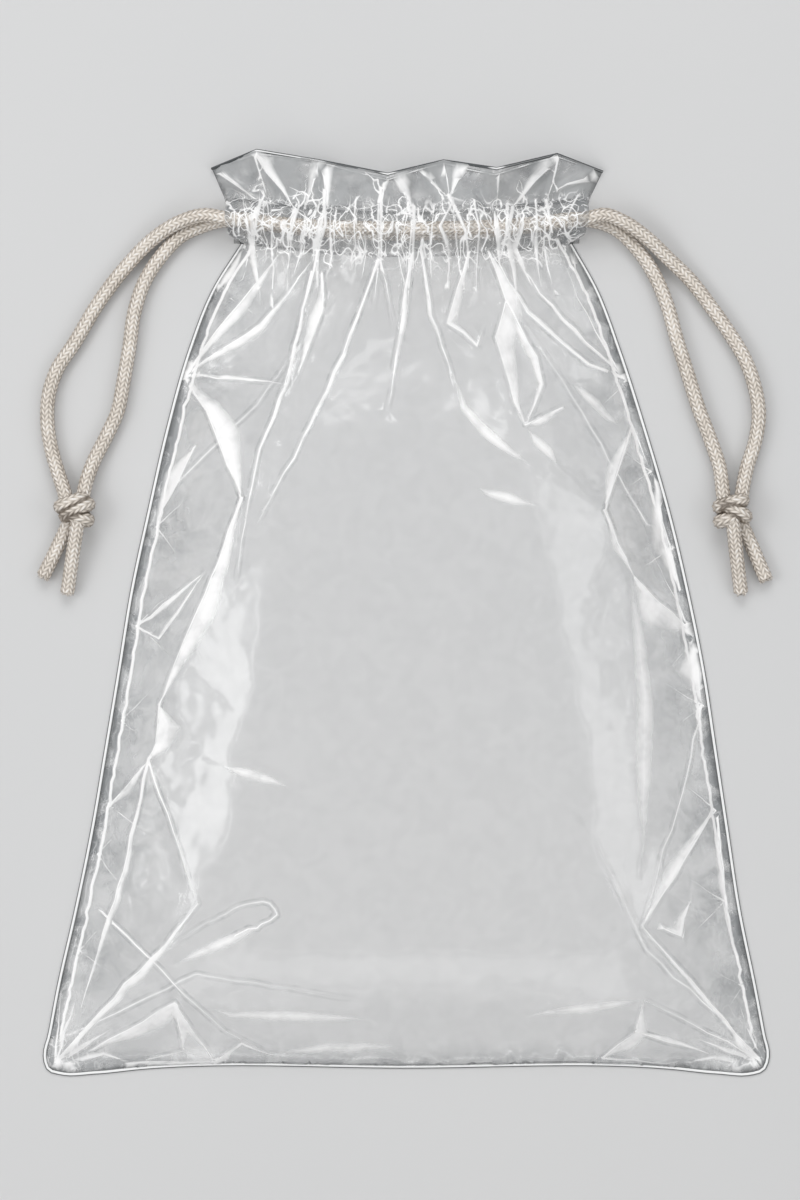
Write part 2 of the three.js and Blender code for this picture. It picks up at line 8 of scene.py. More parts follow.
# %% Load the solids
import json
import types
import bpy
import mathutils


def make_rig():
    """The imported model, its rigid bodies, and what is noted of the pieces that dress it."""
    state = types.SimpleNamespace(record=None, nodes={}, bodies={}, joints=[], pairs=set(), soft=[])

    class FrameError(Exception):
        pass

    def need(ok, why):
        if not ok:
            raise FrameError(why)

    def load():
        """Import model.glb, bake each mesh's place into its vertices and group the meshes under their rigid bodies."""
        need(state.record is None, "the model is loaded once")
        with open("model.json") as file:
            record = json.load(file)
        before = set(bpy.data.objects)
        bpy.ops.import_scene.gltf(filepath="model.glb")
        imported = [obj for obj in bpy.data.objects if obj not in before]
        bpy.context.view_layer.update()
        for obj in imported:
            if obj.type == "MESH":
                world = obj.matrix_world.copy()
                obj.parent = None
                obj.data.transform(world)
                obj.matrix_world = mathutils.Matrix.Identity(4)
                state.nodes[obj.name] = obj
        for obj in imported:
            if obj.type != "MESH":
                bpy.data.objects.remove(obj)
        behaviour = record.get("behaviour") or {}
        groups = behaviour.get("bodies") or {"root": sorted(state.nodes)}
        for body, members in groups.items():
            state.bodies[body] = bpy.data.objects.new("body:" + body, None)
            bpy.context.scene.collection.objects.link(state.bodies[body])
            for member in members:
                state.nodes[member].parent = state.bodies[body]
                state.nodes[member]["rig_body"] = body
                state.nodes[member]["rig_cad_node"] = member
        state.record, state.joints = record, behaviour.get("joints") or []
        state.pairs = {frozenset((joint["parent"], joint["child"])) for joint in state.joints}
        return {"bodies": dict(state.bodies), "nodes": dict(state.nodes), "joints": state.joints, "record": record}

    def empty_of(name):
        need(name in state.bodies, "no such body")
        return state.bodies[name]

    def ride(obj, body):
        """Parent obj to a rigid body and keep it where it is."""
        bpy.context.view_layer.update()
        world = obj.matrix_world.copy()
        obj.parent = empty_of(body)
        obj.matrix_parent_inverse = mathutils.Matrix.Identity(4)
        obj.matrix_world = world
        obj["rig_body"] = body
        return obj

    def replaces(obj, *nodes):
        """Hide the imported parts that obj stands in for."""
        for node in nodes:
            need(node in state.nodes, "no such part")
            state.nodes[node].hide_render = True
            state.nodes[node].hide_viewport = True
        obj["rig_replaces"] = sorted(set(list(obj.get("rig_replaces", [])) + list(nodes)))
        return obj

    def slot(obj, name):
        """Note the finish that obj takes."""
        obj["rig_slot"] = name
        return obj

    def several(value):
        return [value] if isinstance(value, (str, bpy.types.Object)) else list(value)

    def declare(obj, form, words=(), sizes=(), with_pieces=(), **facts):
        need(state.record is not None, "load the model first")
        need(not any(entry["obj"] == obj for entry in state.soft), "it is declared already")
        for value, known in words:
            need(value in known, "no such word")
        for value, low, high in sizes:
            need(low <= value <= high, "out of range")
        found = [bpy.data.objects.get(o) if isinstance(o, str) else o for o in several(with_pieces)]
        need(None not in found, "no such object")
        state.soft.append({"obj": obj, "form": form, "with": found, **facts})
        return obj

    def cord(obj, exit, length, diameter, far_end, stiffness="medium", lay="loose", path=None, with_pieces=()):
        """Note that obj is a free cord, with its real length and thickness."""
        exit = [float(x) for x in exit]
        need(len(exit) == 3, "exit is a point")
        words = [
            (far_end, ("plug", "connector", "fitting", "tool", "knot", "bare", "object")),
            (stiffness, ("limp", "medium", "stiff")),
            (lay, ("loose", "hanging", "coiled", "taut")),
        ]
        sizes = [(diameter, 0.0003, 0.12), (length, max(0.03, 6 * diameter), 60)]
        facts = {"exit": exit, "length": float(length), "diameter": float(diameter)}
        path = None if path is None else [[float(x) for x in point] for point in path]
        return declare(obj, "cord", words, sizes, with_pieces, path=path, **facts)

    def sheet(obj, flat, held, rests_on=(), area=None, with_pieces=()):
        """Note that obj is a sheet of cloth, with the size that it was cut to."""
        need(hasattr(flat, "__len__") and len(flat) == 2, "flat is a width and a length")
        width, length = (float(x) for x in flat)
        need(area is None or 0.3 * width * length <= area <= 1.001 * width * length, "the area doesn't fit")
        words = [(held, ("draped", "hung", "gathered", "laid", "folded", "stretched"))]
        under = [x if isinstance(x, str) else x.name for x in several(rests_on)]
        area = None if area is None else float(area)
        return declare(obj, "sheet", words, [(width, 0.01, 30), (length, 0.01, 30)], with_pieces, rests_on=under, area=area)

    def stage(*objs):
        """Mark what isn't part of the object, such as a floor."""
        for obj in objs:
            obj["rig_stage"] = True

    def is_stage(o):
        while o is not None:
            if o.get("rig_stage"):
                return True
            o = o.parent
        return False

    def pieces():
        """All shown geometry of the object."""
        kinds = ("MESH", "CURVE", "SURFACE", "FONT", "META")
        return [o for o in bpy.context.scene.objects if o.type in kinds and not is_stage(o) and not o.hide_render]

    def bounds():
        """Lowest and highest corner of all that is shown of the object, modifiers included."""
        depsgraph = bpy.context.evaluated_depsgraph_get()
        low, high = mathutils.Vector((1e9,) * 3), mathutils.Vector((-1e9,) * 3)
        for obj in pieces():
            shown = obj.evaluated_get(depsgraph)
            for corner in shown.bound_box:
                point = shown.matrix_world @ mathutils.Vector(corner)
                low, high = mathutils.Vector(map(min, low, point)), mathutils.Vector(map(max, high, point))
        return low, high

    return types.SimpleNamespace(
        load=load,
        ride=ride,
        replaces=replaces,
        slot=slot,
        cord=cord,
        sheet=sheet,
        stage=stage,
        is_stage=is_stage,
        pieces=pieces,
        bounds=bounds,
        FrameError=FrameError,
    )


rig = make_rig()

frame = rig.load()
solid_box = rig.bounds()

import json
import math

import bmesh
import bpy
import numpy as np
from mathutils import Matrix, Vector, noise
from mathutils.geometry import delaunay_2d_cdt

MM = 0.001
print("solids:", [round(size * 1000) for size in np.ptp(np.array(solid_box), axis=0)], "mm")

# %% [markdown]
# ## Four small helpers
# Colours are written as the sRGB hex codes that a paint program shows. Blender's shaders add
# light in linear numbers, so one function turns the codes into those. Another adds a shader node
# with its settings and its links in one call, which keeps each material short enough to read. The
# third starts an empty material, and the last makes an object of a finished mesh.

# %% Colour and node helpers
def paint(code):
    """An sRGB hex code as the linear red, green, blue and alpha that a socket takes."""
    shares = [int(code[start:start + 2], 16) / 255 for start in (1, 3, 5)]
    linear = [share / 12.92 if share <= 0.04045 else ((share + 0.055) / 1.055) ** 2.4 for share in shares]
    return (*linear, 1.0)


def add_node(tree, kind, sockets=None, **settings):
    """Adds a shader node. A socket gets a plain value, or a link to an output or to a node's first one."""
    node = tree.nodes.new("ShaderNode" + kind)
    for name, value in settings.items():
        setattr(node, name, value)
    for key, value in (sockets or {}).items():
        if isinstance(value, bpy.types.Node):
            value = value.outputs[0]
        if isinstance(value, bpy.types.NodeSocket):
            tree.links.new(value, node.inputs[key])
        else:
            node.inputs[key].default_value = value
    return node


def start_material(name):
    """An empty node material, with its tree."""
    material = bpy.data.materials.new(name)
    material.use_nodes = True
    material.node_tree.nodes.clear()
    return material, material.node_tree


def place_mesh(name, bm, material):
    """Turns a mesh in the making into an object of the scene."""
    mesh = bpy.data.meshes.new(name)
    bm.to_mesh(mesh)
    bm.free()
    mesh.materials.append(material)
    piece = bpy.data.objects.new(name, mesh)
    bpy.context.scene.collection.objects.link(piece)
    return piece


print("mid grey in linear light:", round(paint("#808080")[0], 3))

# %% [markdown]
# ## The table
# Clear film has almost no colour of its own. The eye finds it by what it mirrors, so the table is
# a light grey: white mirrored streaks stand out above it and dark edges below it. A soft, wide
# mottle keeps the grey from looking like a flat fill.

# %% Pale table top
TABLE_REACH, MOTTLE_SIZE = 4.0, 0.35

table_paint, tree = start_material("matt pale table")
place = add_node(tree, "TexCoord")
mottle = add_node(tree, "TexNoise", {"Vector": place.outputs["Object"], "Scale": 1 / MOTTLE_SIZE})
shade = add_node(tree, "ValToRGB", {"Fac": mottle})
shade.color_ramp.elements[0].color = paint("#D3D4D5")
shade.color_ramp.elements[1].color = paint("#D9D9D9")
matt = add_node(tree, "BsdfDiffuse", {"Color": shade})
add_node(tree, "OutputMaterial", {"Surface": matt})

bm = bmesh.new()
bmesh.ops.create_grid(bm, x_segments=1, y_segments=1, size=TABLE_REACH)
table = place_mesh("table", bm, table_paint)
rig.stage(table)
print("table:", 2 * TABLE_REACH, "m square")

# %% [markdown]
# ## Light for clear film
# A product photographer lights glass and film by reflection. A bright even room gives the plain
# level. Long thin lamps round the bag are what its creases mirror as white lines, and broad dim
# boxes give the wide facets their pale sheen. A ring of grey card, which only mirrors can see,
# puts darker lines where the film stands steep. A facet tilted by 20 degrees mirrors what is
# 40 degrees from straight up, so the lamps stand on both sides of that, at 30 to 59 degrees.

# %% Even room light
ROOM_LEVEL = 0.45
BACKDROP_LEVEL = 0.80

room = bpy.data.worlds.new("pale studio")
bpy.context.scene.world = room
room.use_nodes = True
room.node_tree.nodes.clear()
ray = add_node(room.node_tree, "LightPath")
seen = add_node(room.node_tree, "Math", {
    0: ray.outputs["Is Camera Ray"], 1: ray.outputs["Is Glossy Ray"]}, operation="MAXIMUM")
shown = add_node(room.node_tree, "Math", {
    0: seen, 1: ray.outputs["Is Transmission Ray"]}, operation="MAXIMUM")
level = add_node(room.node_tree, "Math", {
    0: shown, 1: BACKDROP_LEVEL - ROOM_LEVEL, 2: ROOM_LEVEL}, operation="MULTIPLY_ADD")
sky = add_node(room.node_tree, "Background", {"Color": paint("#FFFFFF"), "Strength": level})
add_node(room.node_tree, "OutputWorld", {"Surface": sky})
bpy.context.scene.view_settings.view_transform = "Standard"
print("room level:", ROOM_LEVEL, "backdrop:", BACKDROP_LEVEL)

# %% Lamps round the bag
def soft_box(name, place, size, level):
    """A rectangular lamp that faces the bag. Its level is the brightness of its face."""
    lamp = bpy.data.lights.new(name, "AREA")
    lamp.shape = "RECTANGLE"
    lamp.size, lamp.size_y = size
    lamp.energy = level * math.pi * size[0] * size[1]
    holder = bpy.data.objects.new(name, lamp)
    holder.location = place
    holder.rotation_euler = Vector(place).to_track_quat("Z", "Y").to_euler()
    holder.visible_camera = False
    bpy.context.scene.collection.objects.link(holder)


LAMP_DISTANCE = 1.6
STRIP_SIZE, STRIP_LEVEL = (1.7, 0.022), 6.0
BOX_SIZE, BOX_LEVEL = (1.0, 0.5), 2.2

# Lean from straight up in degrees, size in metres and level of each kind of lamp
LAMP_KINDS = (
    ("high strip", 30, STRIP_SIZE, STRIP_LEVEL),
    ("soft box", 44, BOX_SIZE, BOX_LEVEL),
    ("low strip", 59, STRIP_SIZE, STRIP_LEVEL),
)

# Which way each group stands from the bag, across and along, and its share of the level
LAMP_RING = {"left": (-1, 0, 1.6), "right": (1, 0, 0.75), "foot": (0, -1, 0.4), "head": (0, 1, 1.6)}
for side, (across, along, share) in LAMP_RING.items():
    for kind, lean, size, level in LAMP_KINDS:
        out = LAMP_DISTANCE * math.sin(math.radians(lean))
        up = LAMP_DISTANCE * math.cos(math.radians(lean))
        soft_box(f"{side} {kind}", (across * out, along * out, up), size, level * share)
print("lamps:", len(LAMP_RING) * len(LAMP_KINDS))

# %% Ring of grey card
RING_RADIUS, RING_HEIGHT, RING_GAP = 1.9, 0.8, 0.02

card, tree = start_material("grey card")
grey = add_node(tree, "BsdfDiffuse", {"Color": paint("#A6A7A9")})
add_node(tree, "OutputMaterial", {"Surface": grey})
bm = bmesh.new()
bmesh.ops.create_cone(
    bm, segments=48, radius1=RING_RADIUS, radius2=RING_RADIUS, depth=RING_HEIGHT,
    matrix=Matrix.Translation((0, 0, RING_HEIGHT / 2 + RING_GAP)),
)
card_ring = place_mesh("card_ring", bm, card)
for ray in ("visible_camera", "visible_diffuse", "visible_shadow", "visible_transmission"):
    setattr(card_ring, ray, False)
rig.stage(card_ring)
print("card ring:", RING_HEIGHT, "m tall")

# %% [markdown]
# ## The camera
# The picture is taken from straight above. A long lens from far away keeps the tall middle of the
# bag from looking larger than its flat edges. The frame is 400 mm tall at the table, so at
# 800 by 1200 one pixel is a third of a millimetre.

# %% Camera straight above
FRAME_HEIGHT = 0.400
FRAME_MIDDLE = (-0.0022, 0.0047)
LENS = 120

lens_data = bpy.data.cameras.new("camera")
lens_data.lens = LENS
camera = bpy.data.objects.new("camera", lens_data)
camera.location = (*FRAME_MIDDLE, FRAME_HEIGHT * LENS / lens_data.sensor_width)
bpy.context.scene.collection.objects.link(camera)
bpy.context.scene.camera = camera
print("camera height:", round(camera.location.z, 3), "m")

# %% [markdown]
# ## The cords' routes
# Each cord leaves a knot, climbs to the neck, runs through its channel and comes down to the
# other knot. The points are the ones that the solids follow: across and along from the end of
# the channel, and the height of the cord's middle, in millimetres. A smooth curve runs through
# them. A cord lies half its thickness above the table, and only the knots and the neck lift it.

# %% Points of the routes
CHANNEL_END, CHANNEL_LEVEL = 60, 131
CHANNEL_SAG = 4.5
CHANNEL_REACH, CHANNEL_STOPS = 56, 17

LEFT_FRONT = [
    (-6.5, 1.2, 8.6), (-15.2, -0.9, 6.3), (-24.2, -6.3, 4), (-33.2, -15.3, 2.8), (-42.2, -27, 2.6),
    (-50.8, -41.3, 2.6), (-56.5, -50, 2.6), (-59.2, -59, 2.6), (-59.5, -67, 2.6), (-58.2, -76, 2.6),
    (-55.9, -84, 3), (-53.6, -91, 4.4), (-52.8, -95, 5.2),
]
LEFT_BACK = [
    (-8.2, -2, 2.9), (-15.2, -5.3, 2.7), (-21.5, -11.7, 2.6), (-26.8, -19.7, 2.6), (-30.5, -30.3, 2.6),
    (-32.2, -42, 2.6), (-34.2, -53.7, 2.6), (-36.2, -63.7, 2.6), (-39.8, -71.7, 2.6), (-44.4, -81, 3.2),
    (-47.1, -90, 4.8), (-47.7, -95, 5.2),
]
RIGHT_FRONT = [
    (5.5, 1.2, 9.2), (11.8, -1, 8.3), (19.8, -6.3, 6.4), (26.8, -12.7, 4.2), (34.2, -19.7, 2.8),
    (41.2, -28.7, 2.6), (47.5, -37.7, 2.6), (52.8, -46.7, 2.6), (55.8, -55.3, 2.6), (57.2, -64.3, 2.6),
    (56, -73.3, 2.6), (53.2, -82.3, 3), (51.4, -91, 4.6), (50.9, -95, 5.2),
]
RIGHT_BACK = [
    (9.2, -2.7, 2.9), (16.2, -9, 2.7), (21.8, -17, 2.6), (26.5, -27.7, 2.6), (29.8, -39.3, 2.6),
    (33.5, -51, 2.6), (37.2, -62.7, 2.6), (41.2, -73.3, 2.6), (44.1, -82.3, 3), (45.1, -91, 4.6),
    (45.6, -95, 5.2),
]

# Each tail's end of the channel, -1 for left and 1 for right, and its points
TAILS = {
    "left_front_tail": (-1, [(-51, -98, 4.2), (-56, -108.5, 2.8), (-60.8, -118.3, 2.6)]),
    "left_back_tail": (-1, [(-48.6, -98.5, 8.6), (-50.6, -110, 6), (-52.8, -123.7, 2.8)]),
    "right_front_tail": (1, [(47.9, -98.8, 8.6), (49.3, -110, 6), (51.2, -123.7, 2.8)]),
    "right_back_tail": (1, [(50, -98, 4.2), (54.9, -108.6, 2.8), (59.5, -119.3, 2.6)]),
}

print("points from knot to neck:", [len(r) for r in (LEFT_FRONT, LEFT_BACK, RIGHT_FRONT, RIGHT_BACK)])

# %% Runs through the channels
FRONT_LEVEL, FRONT_LIFT = 9.9, 12.0
BACK_LEVEL = 3.3


def from_channel(side, points):
    """Places in the bag's own frame of points counted from the left or right end of the channel."""
    return [(side * CHANNEL_END + x, CHANNEL_LEVEL + y, z) for x, y, z in points]


def channel_arch(x):
    """How far the two channels are apart: 1 in the middle of the neck and 0 at its ends."""
    return (1 + np.cos(np.pi * np.clip(x / CHANNEL_REACH, -1, 1))) / 2


def channel_middle(x):
    """The middle line of the channels, which sags a little towards the bag."""
    return CHANNEL_LEVEL - CHANNEL_SAG * (1 - np.clip(x / CHANNEL_REACH, -1, 1) ** 2)


def channel_run(base, lift):
    """The stretch of a cord inside its channel."""
    stops = np.linspace(-CHANNEL_END, CHANNEL_END, CHANNEL_STOPS)
    return [(x, channel_middle(x), base + lift * channel_arch(x)) for x in stops]


front_points = (
    from_channel(-1, LEFT_FRONT[::-1]) + channel_run(FRONT_LEVEL, FRONT_LIFT) + from_channel(1, RIGHT_FRONT)
)
back_points = from_channel(-1, LEFT_BACK[::-1]) + channel_run(BACK_LEVEL, 0) + from_channel(1, RIGHT_BACK)
print("route points:", len(front_points), "front,", len(back_points), "back")

# %% Smooth curve through points
ROUTE_STEP = 1.0


def along_line(points):
    """The distance of each point along its line."""
    return np.r_[0, np.cumsum(np.linalg.norm(np.diff(points, axis=0), axis=1))]


def smooth_route(points, step):
    """Points about a step apart on a smooth curve through the given points."""
    points = np.array(points, float)
    mark = along_line(points)
    slope = np.gradient(points, mark, axis=0)
    fine = np.linspace(0, mark[-1], max(2, round(mark[-1] / step)) + 1)
    span = np.clip(np.searchsorted(mark, fine, side="right") - 1, 0, len(mark) - 2)
    gap = (mark[span + 1] - mark[span])[:, None]
    share = (fine - mark[span])[:, None] / gap
    rest = 1 - share
    return (
        points[span] * rest ** 2 * (1 + 2 * share) + points[span + 1] * share ** 2 * (1 + 2 * rest)
        + gap * share * rest * (slope[span] * rest - slope[span + 1] * share)
    )


front_route = smooth_route(front_points, ROUTE_STEP)
back_route = smooth_route(back_points, ROUTE_STEP)
print("cords from knot to knot:", round(along_line(front_route)[-1]), round(along_line(back_route)[-1]), "mm")

# %% [markdown]
# ## The braid
# The cord is a round braid of cream yarn: two sets of strands wind round it in opposite ways, and
# each passes over two of the others, which leaves columns of small slanted strands that meet in
# rows of Vs. A bump texture could fake them, but a silhouette would stay smooth, so the strands
# are real. A flat grid is rolled round the route, and each ring's radius follows the braid. The
# height is also kept as an attribute, because the material paints shade down in the grooves and a
# white highlight on the crowns.

# %% Yarn material
SLUB_LENGTH, SLUB_SHARE = 9, 0.30
FLANK_AT, EDGE_SHADE_POWER = 0.55, 1.6


def yarn_material(name, crown, flank, groove_shade, rim):
    """Satin spun yarn, with painted white highlights on the crowns of the strands, painted brown shade in the grooves
    and painted shade at the sides.
    """
    material, tree = start_material(name)
    height = add_node(tree, "Attribute", attribute_name="strand")
    place = add_node(tree, "TexCoord")
    slub = add_node(tree, "TexNoise", {
        "Vector": place.outputs["Object"], "Scale": 1 / (SLUB_LENGTH * MM), "Detail": 4.0})
    shift = add_node(tree, "Math", {0: slub, 1: SLUB_SHARE, 2: -SLUB_SHARE / 2}, operation="MULTIPLY_ADD")
    level = add_node(tree, "Math", {0: height.outputs["Fac"], 1: shift}, operation="ADD")
    # The ramp paints shade down in the grooves and a white highlight on the crowns, over the cream of the flanks.
    ramp = add_node(tree, "ValToRGB", {"Fac": level})
    ramp.color_ramp.elements[0].color = paint(groove_shade)
    ramp.color_ramp.elements[1].color = paint(crown)
    middle = ramp.color_ramp.elements.new(FLANK_AT)
    middle.color = paint(flank)
    # Painted shade: the cord is darkened towards its sides, where it turns away from view.
    facing = add_node(tree, "LayerWeight", {"Blend": 0.5})
    edge = add_node(tree, "Math", {0: facing.outputs["Facing"], 1: EDGE_SHADE_POWER}, operation="POWER")
    edge_shaded = add_node(tree, "Mix", {0: edge, 6: ramp, 7: paint(rim)}, data_type="RGBA")
    yarn = add_node(tree, "BsdfPrincipled", {"Base Color": edge_shaded.outputs[2], "Roughness": 0.42})
    add_node(tree, "OutputMaterial", {"Surface": yarn})
    return material


# Colours: crown as painted highlight, flank as the yarn's cream, groove and side as painted shade.
cord_yarn = yarn_material("cream braided yarn", "#FFFEFC", "#E4DBD0", "#54483B", "#7F7162")
print("material:", cord_yarn.name)

# %% Height of the braid
COLUMNS_ROUND, COLUMN_EDGE = 10, 0.12
STRAND_CURVE, COLUMN_CURVE = 0.7, 0.6
FLECK_MIX = (12.9898, 78.233, 43758.5453)


def braid_height(turn, pitches):
    """Height of the braid and a shade for each strand, at a share of a turn and a count of pitches."""
    column = turn * COLUMNS_ROUND
    lean = np.where(np.floor(column) % 2 == 0, 1, -1)
    across = column % 1
    slanted = pitches + lean * (across - 0.5)
    crown = np.sin(np.pi * (slanted % 1)) ** STRAND_CURVE
    height = crown * np.sin(np.pi * (COLUMN_EDGE + (1 - 2 * COLUMN_EDGE) * across)) ** COLUMN_CURVE
    number = np.floor(column) % COLUMNS_ROUND * FLECK_MIX[0] + np.floor(slanted) * FLECK_MIX[1]
    return height, np.abs(np.sin(number)) * FLECK_MIX[2] % 1


print("top of a strand:", braid_height(np.array(0.05), np.array(0.5))[0].round(2))

# %% Roll a braid round a route
CORD_DIAMETER = 5.0
COLUMN_CUTS = 5
STRAND_PITCH, STRAND_CUTS = 1.75, 5
GROOVE_DEPTH, FLECK_SHARE = 0.24, 0.3
NUDGE = 1e-6
SEAM_MERGE = 0.001


def new_braid():
    """An empty mesh that keeps the braid's height at each vertex."""
    bm = bmesh.new()
    bm.verts.layers.float.new("strand")
    return bm


def roll_braid(bm, route, diameter=CORD_DIAMETER, upright=(0, 0, 1), closed=False):
    """Rolls a grid round a route, in millimetres, as a braided tube."""
    length = along_line(route)[-1]
    steps = round(length / STRAND_PITCH) * STRAND_CUTS
    mark = np.linspace(0, length, steps + 1)
    middle = np.stack([np.interp(mark, along_line(route), axis) for axis in np.array(route).T], axis=1)
    ahead = np.gradient(middle, axis=0)
    if closed:
        ahead[0] = ahead[-1] = ahead[0] + ahead[-1]
    ahead /= np.linalg.norm(ahead, axis=1)[:, None]
    sideways = np.cross(ahead, upright)
    sideways /= np.linalg.norm(sideways, axis=1)[:, None]
    above = np.cross(sideways, ahead)
    around = COLUMNS_ROUND * COLUMN_CUTS
    grid = bmesh.ops.create_grid(bm, x_segments=around, y_segments=steps, size=0.5)["verts"]
    turn, share = np.array([vertex.co[:2] for vertex in grid]).T + 0.5
    ring = np.rint(share * steps).astype(int)
    height, fleck = braid_height(np.rint(turn * around) / around + NUDGE, ring / STRAND_CUTS + NUDGE)
    bright = height * (1 - FLECK_SHARE + FLECK_SHARE * fleck)
    radius = (diameter / 2 * (1 - GROOVE_DEPTH * (1 - height)))[:, None]
    angle = (2 * np.pi * turn)[:, None]
    places = middle[ring] + radius * (np.cos(angle) * sideways[ring] + np.sin(angle) * above[ring])
    strand = bm.verts.layers.float["strand"]
    for vertex, spot, crown in zip(grid, places * MM, bright):
        vertex.co = spot
        vertex[strand] = crown
    bmesh.ops.remove_doubles(bm, verts=grid, dist=SEAM_MERGE * MM)
    open_edges = [edge for edge in bm.edges if edge.is_boundary]
    if open_edges:
        bmesh.ops.holes_fill(bm, edges=open_edges, sides=0)


print("vertices round a cord:", COLUMNS_ROUND * COLUMN_CUTS)

# %% Two cords
def finish_piece(name, bm, material):
    """Turns a mesh into a piece that rides on the bag."""
    bmesh.ops.recalc_face_normals(bm, faces=bm.faces[:])
    piece = place_mesh(name, bm, material)
    faces = piece.data.polygons
    faces.foreach_set("use_smooth", [True] * len(faces))
    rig.ride(piece, "root")
    print(name, len(faces), "faces")
    return piece


cords = {}
for name, route in (("front_cord", front_route), ("back_cord", back_route)):
    bm = new_braid()
    roll_braid(bm, route)
    cords[name] = finish_piece(f"{name}_braid", bm, cord_yarn)

# %% [markdown]
# ## Tails and knots
# Below each knot the two cords end in short tails that were cut straight across, so short yarn
# ends stand out of the cut. A knot is three tight turns of the same braid. Tying it as one curve
# would need a long hidden route, so each turn is a closed loop of braid, tilted and set beside
# the next, and the turns press into each other as they do in a pulled knot.

# %% Cut tails with frayed ends
FRAY_COUNT, FRAY_LENGTH, FRAY_WIDTH, FRAY_TAPER = 34, 1.7, 0.22, 0.3
FRAY_SPREAD, FRAY_LEAN, FRAY_START = 0.46, 0.22, 0.3
TAIL_STEP = 0.5
chance = np.random.default_rng(11)


def fray(bm, tip, ahead):
    """Short yarn ends that stand out of a cut."""
    strand = bm.verts.layers.float["strand"]
    for _ in range(FRAY_COUNT):
        angle = chance.uniform(0, 2 * math.pi)
        reach = CORD_DIAMETER * FRAY_SPREAD * math.sqrt(chance.uniform())
        length = FRAY_LENGTH * chance.uniform(0.5, 1.0)
        lean = Vector(ahead) + Vector(chance.normal(0, FRAY_LEAN, 3))
        turn = lean.to_track_quat("Z", "Y").to_matrix().to_4x4()
        across = Vector(ahead).to_track_quat("Z", "Y").to_matrix() @ Vector(
            (reach * math.cos(angle), reach * math.sin(angle), length * FRAY_START))
        end = bmesh.ops.create_cone(
            bm, cap_ends=True, segments=5, radius1=FRAY_WIDTH * MM, radius2=FRAY_WIDTH * FRAY_TAPER * MM,
            depth=length * MM, matrix=Matrix.Translation((Vector(tip) + across) * MM) @ turn,
        )
        for vertex in end["verts"]:
            vertex[strand] = chance.uniform(0.35, 0.95)


tails = {}
for name, (side, points) in TAILS.items():
    route = smooth_route(from_channel(side, points), TAIL_STEP)
    bm = new_braid()
    roll_braid(bm, route)
    fray(bm, route[-1], route[-1] - route[-2])
    tails[name] = finish_piece(f"{name}_braid", bm, cord_yarn)

# %% Knots of three turns
KNOT_LEVEL = 6.0
KNOT_CORD, KNOT_STOPS = 5.1, 73
GAP_SHADE, DARKEST_GAP = 0.8, 0.15

# The middle of each knot, and for each turn its offset across and along, its tilt in degrees, and
# half its width and height
KNOTS = {
    "left_knot": (
        (-110.2, 34.7), ((-1.0, 2.3, 20, 3.9, 3.0), (0.8, -0.1, 27, 4.2, 3.4), (0.9, -2.4, -18, 3.6, 2.9)),
    ),
    "right_knot": (
        (108.2, 34.4), ((-0.6, 2.4, 16, 4.0, 3.0), (0.5, 0.0, -28, 4.2, 3.4), (-0.9, -2.4, 20, 3.5, 2.8)),
    ),
}


def knot_turn(middle, across, along, tilt, reach, rise):
    """One closed turn of braid, and the axis that it winds round."""
    angle = np.linspace(0, 2 * np.pi, KNOT_STOPS)[:, None]
    way = np.array((math.cos(math.radians(tilt)), math.sin(math.radians(tilt)), 0))
    centre = np.array((middle[0] + across, middle[1] + along, KNOT_LEVEL))
    loop = centre + reach * np.cos(angle) * way + rise * np.sin(angle) * np.array((0, 0, 1))
    return loop, (-way[1], way[0], 0)


def shade_gaps(bm, routes):
    """Paints shade into the yarn where a turn dips between its neighbours."""
    strand = bm.verts.layers.float["strand"]
    spots = np.array([vertex.co for vertex in bm.verts]) / MM
    away = [np.linalg.norm(spots[:, None] - route[None, ::3], axis=2).min(axis=1) for route in routes]
    for vertex, gap in zip(bm.verts, np.sort(away, axis=0)[1] - KNOT_CORD / 2):
        vertex[strand] *= float(np.clip(gap / GAP_SHADE, DARKEST_GAP, 1))


knots = {}
for name, (middle, turns) in KNOTS.items():
    bm = new_braid()
    loops = [knot_turn(middle, *shape) for shape in turns]
    for route, axis in loops:
        roll_braid(bm, route, KNOT_CORD, axis, closed=True)
    shade_gaps(bm, [route for route, _ in loops])
    knots[name] = finish_piece(f"{name}_braid", bm, cord_yarn)

# %% [markdown]
# ## The outline of the film
# The film is one sheet, folded at the bottom and welded along both sides. Drawn in, it keeps its
# full width at the bottom and narrows to the neck. The outline is a few runs of points in
# millimetres: the sides are smooth, and the ruffle's top edge has the corners of its folds.

# %% Runs of the outline
BOTTOM = -151
LEFT_SEAM = [
    (-119.2, -151.8), (-120.6, -148), (-119, -140), (-116.2, -125), (-110.2, -98.5), (-104.8, -72),
    (-100.2, -45), (-95.8, -18.5), (-91.5, 8), (-85.8, 34.5), (-79.8, 61), (-72.2, 88), (-64.5, 107.5),
    (-54.5, 123.5),
]
RIGHT_SEAM = [
    (118.8, -151.8), (120.4, -148), (119, -140), (116.2, -125), (110.8, -98.5), (106.8, -72),
    (102.8, -45), (98.8, -18.5), (93.5, 8), (87.2, 34.5), (79.5, 61), (70.8, 88), (63.2, 108),
    (54.5, 123.5),
]
LEFT_NECK = [(-54.5, 123.5), (-59.2, 126.3), (-60.2, 131), (-59.8, 135.8), (-61, 139.5), (-64.8, 148.3)]
RIGHT_NECK = [(54.5, 123.5), (59.2, 126.3), (60.4, 131), (60.2, 135.8), (61.5, 139.5), (65.2, 147.3)]
FOLD_LINE = [
    (-119.2, -151.8), (-115.5, -153), (-104, -152.8), (-88, -151.2), (0, -150.8), (88, -151.2), (104, -152.8),
    (115.5, -153), (118.8, -151.8),
]
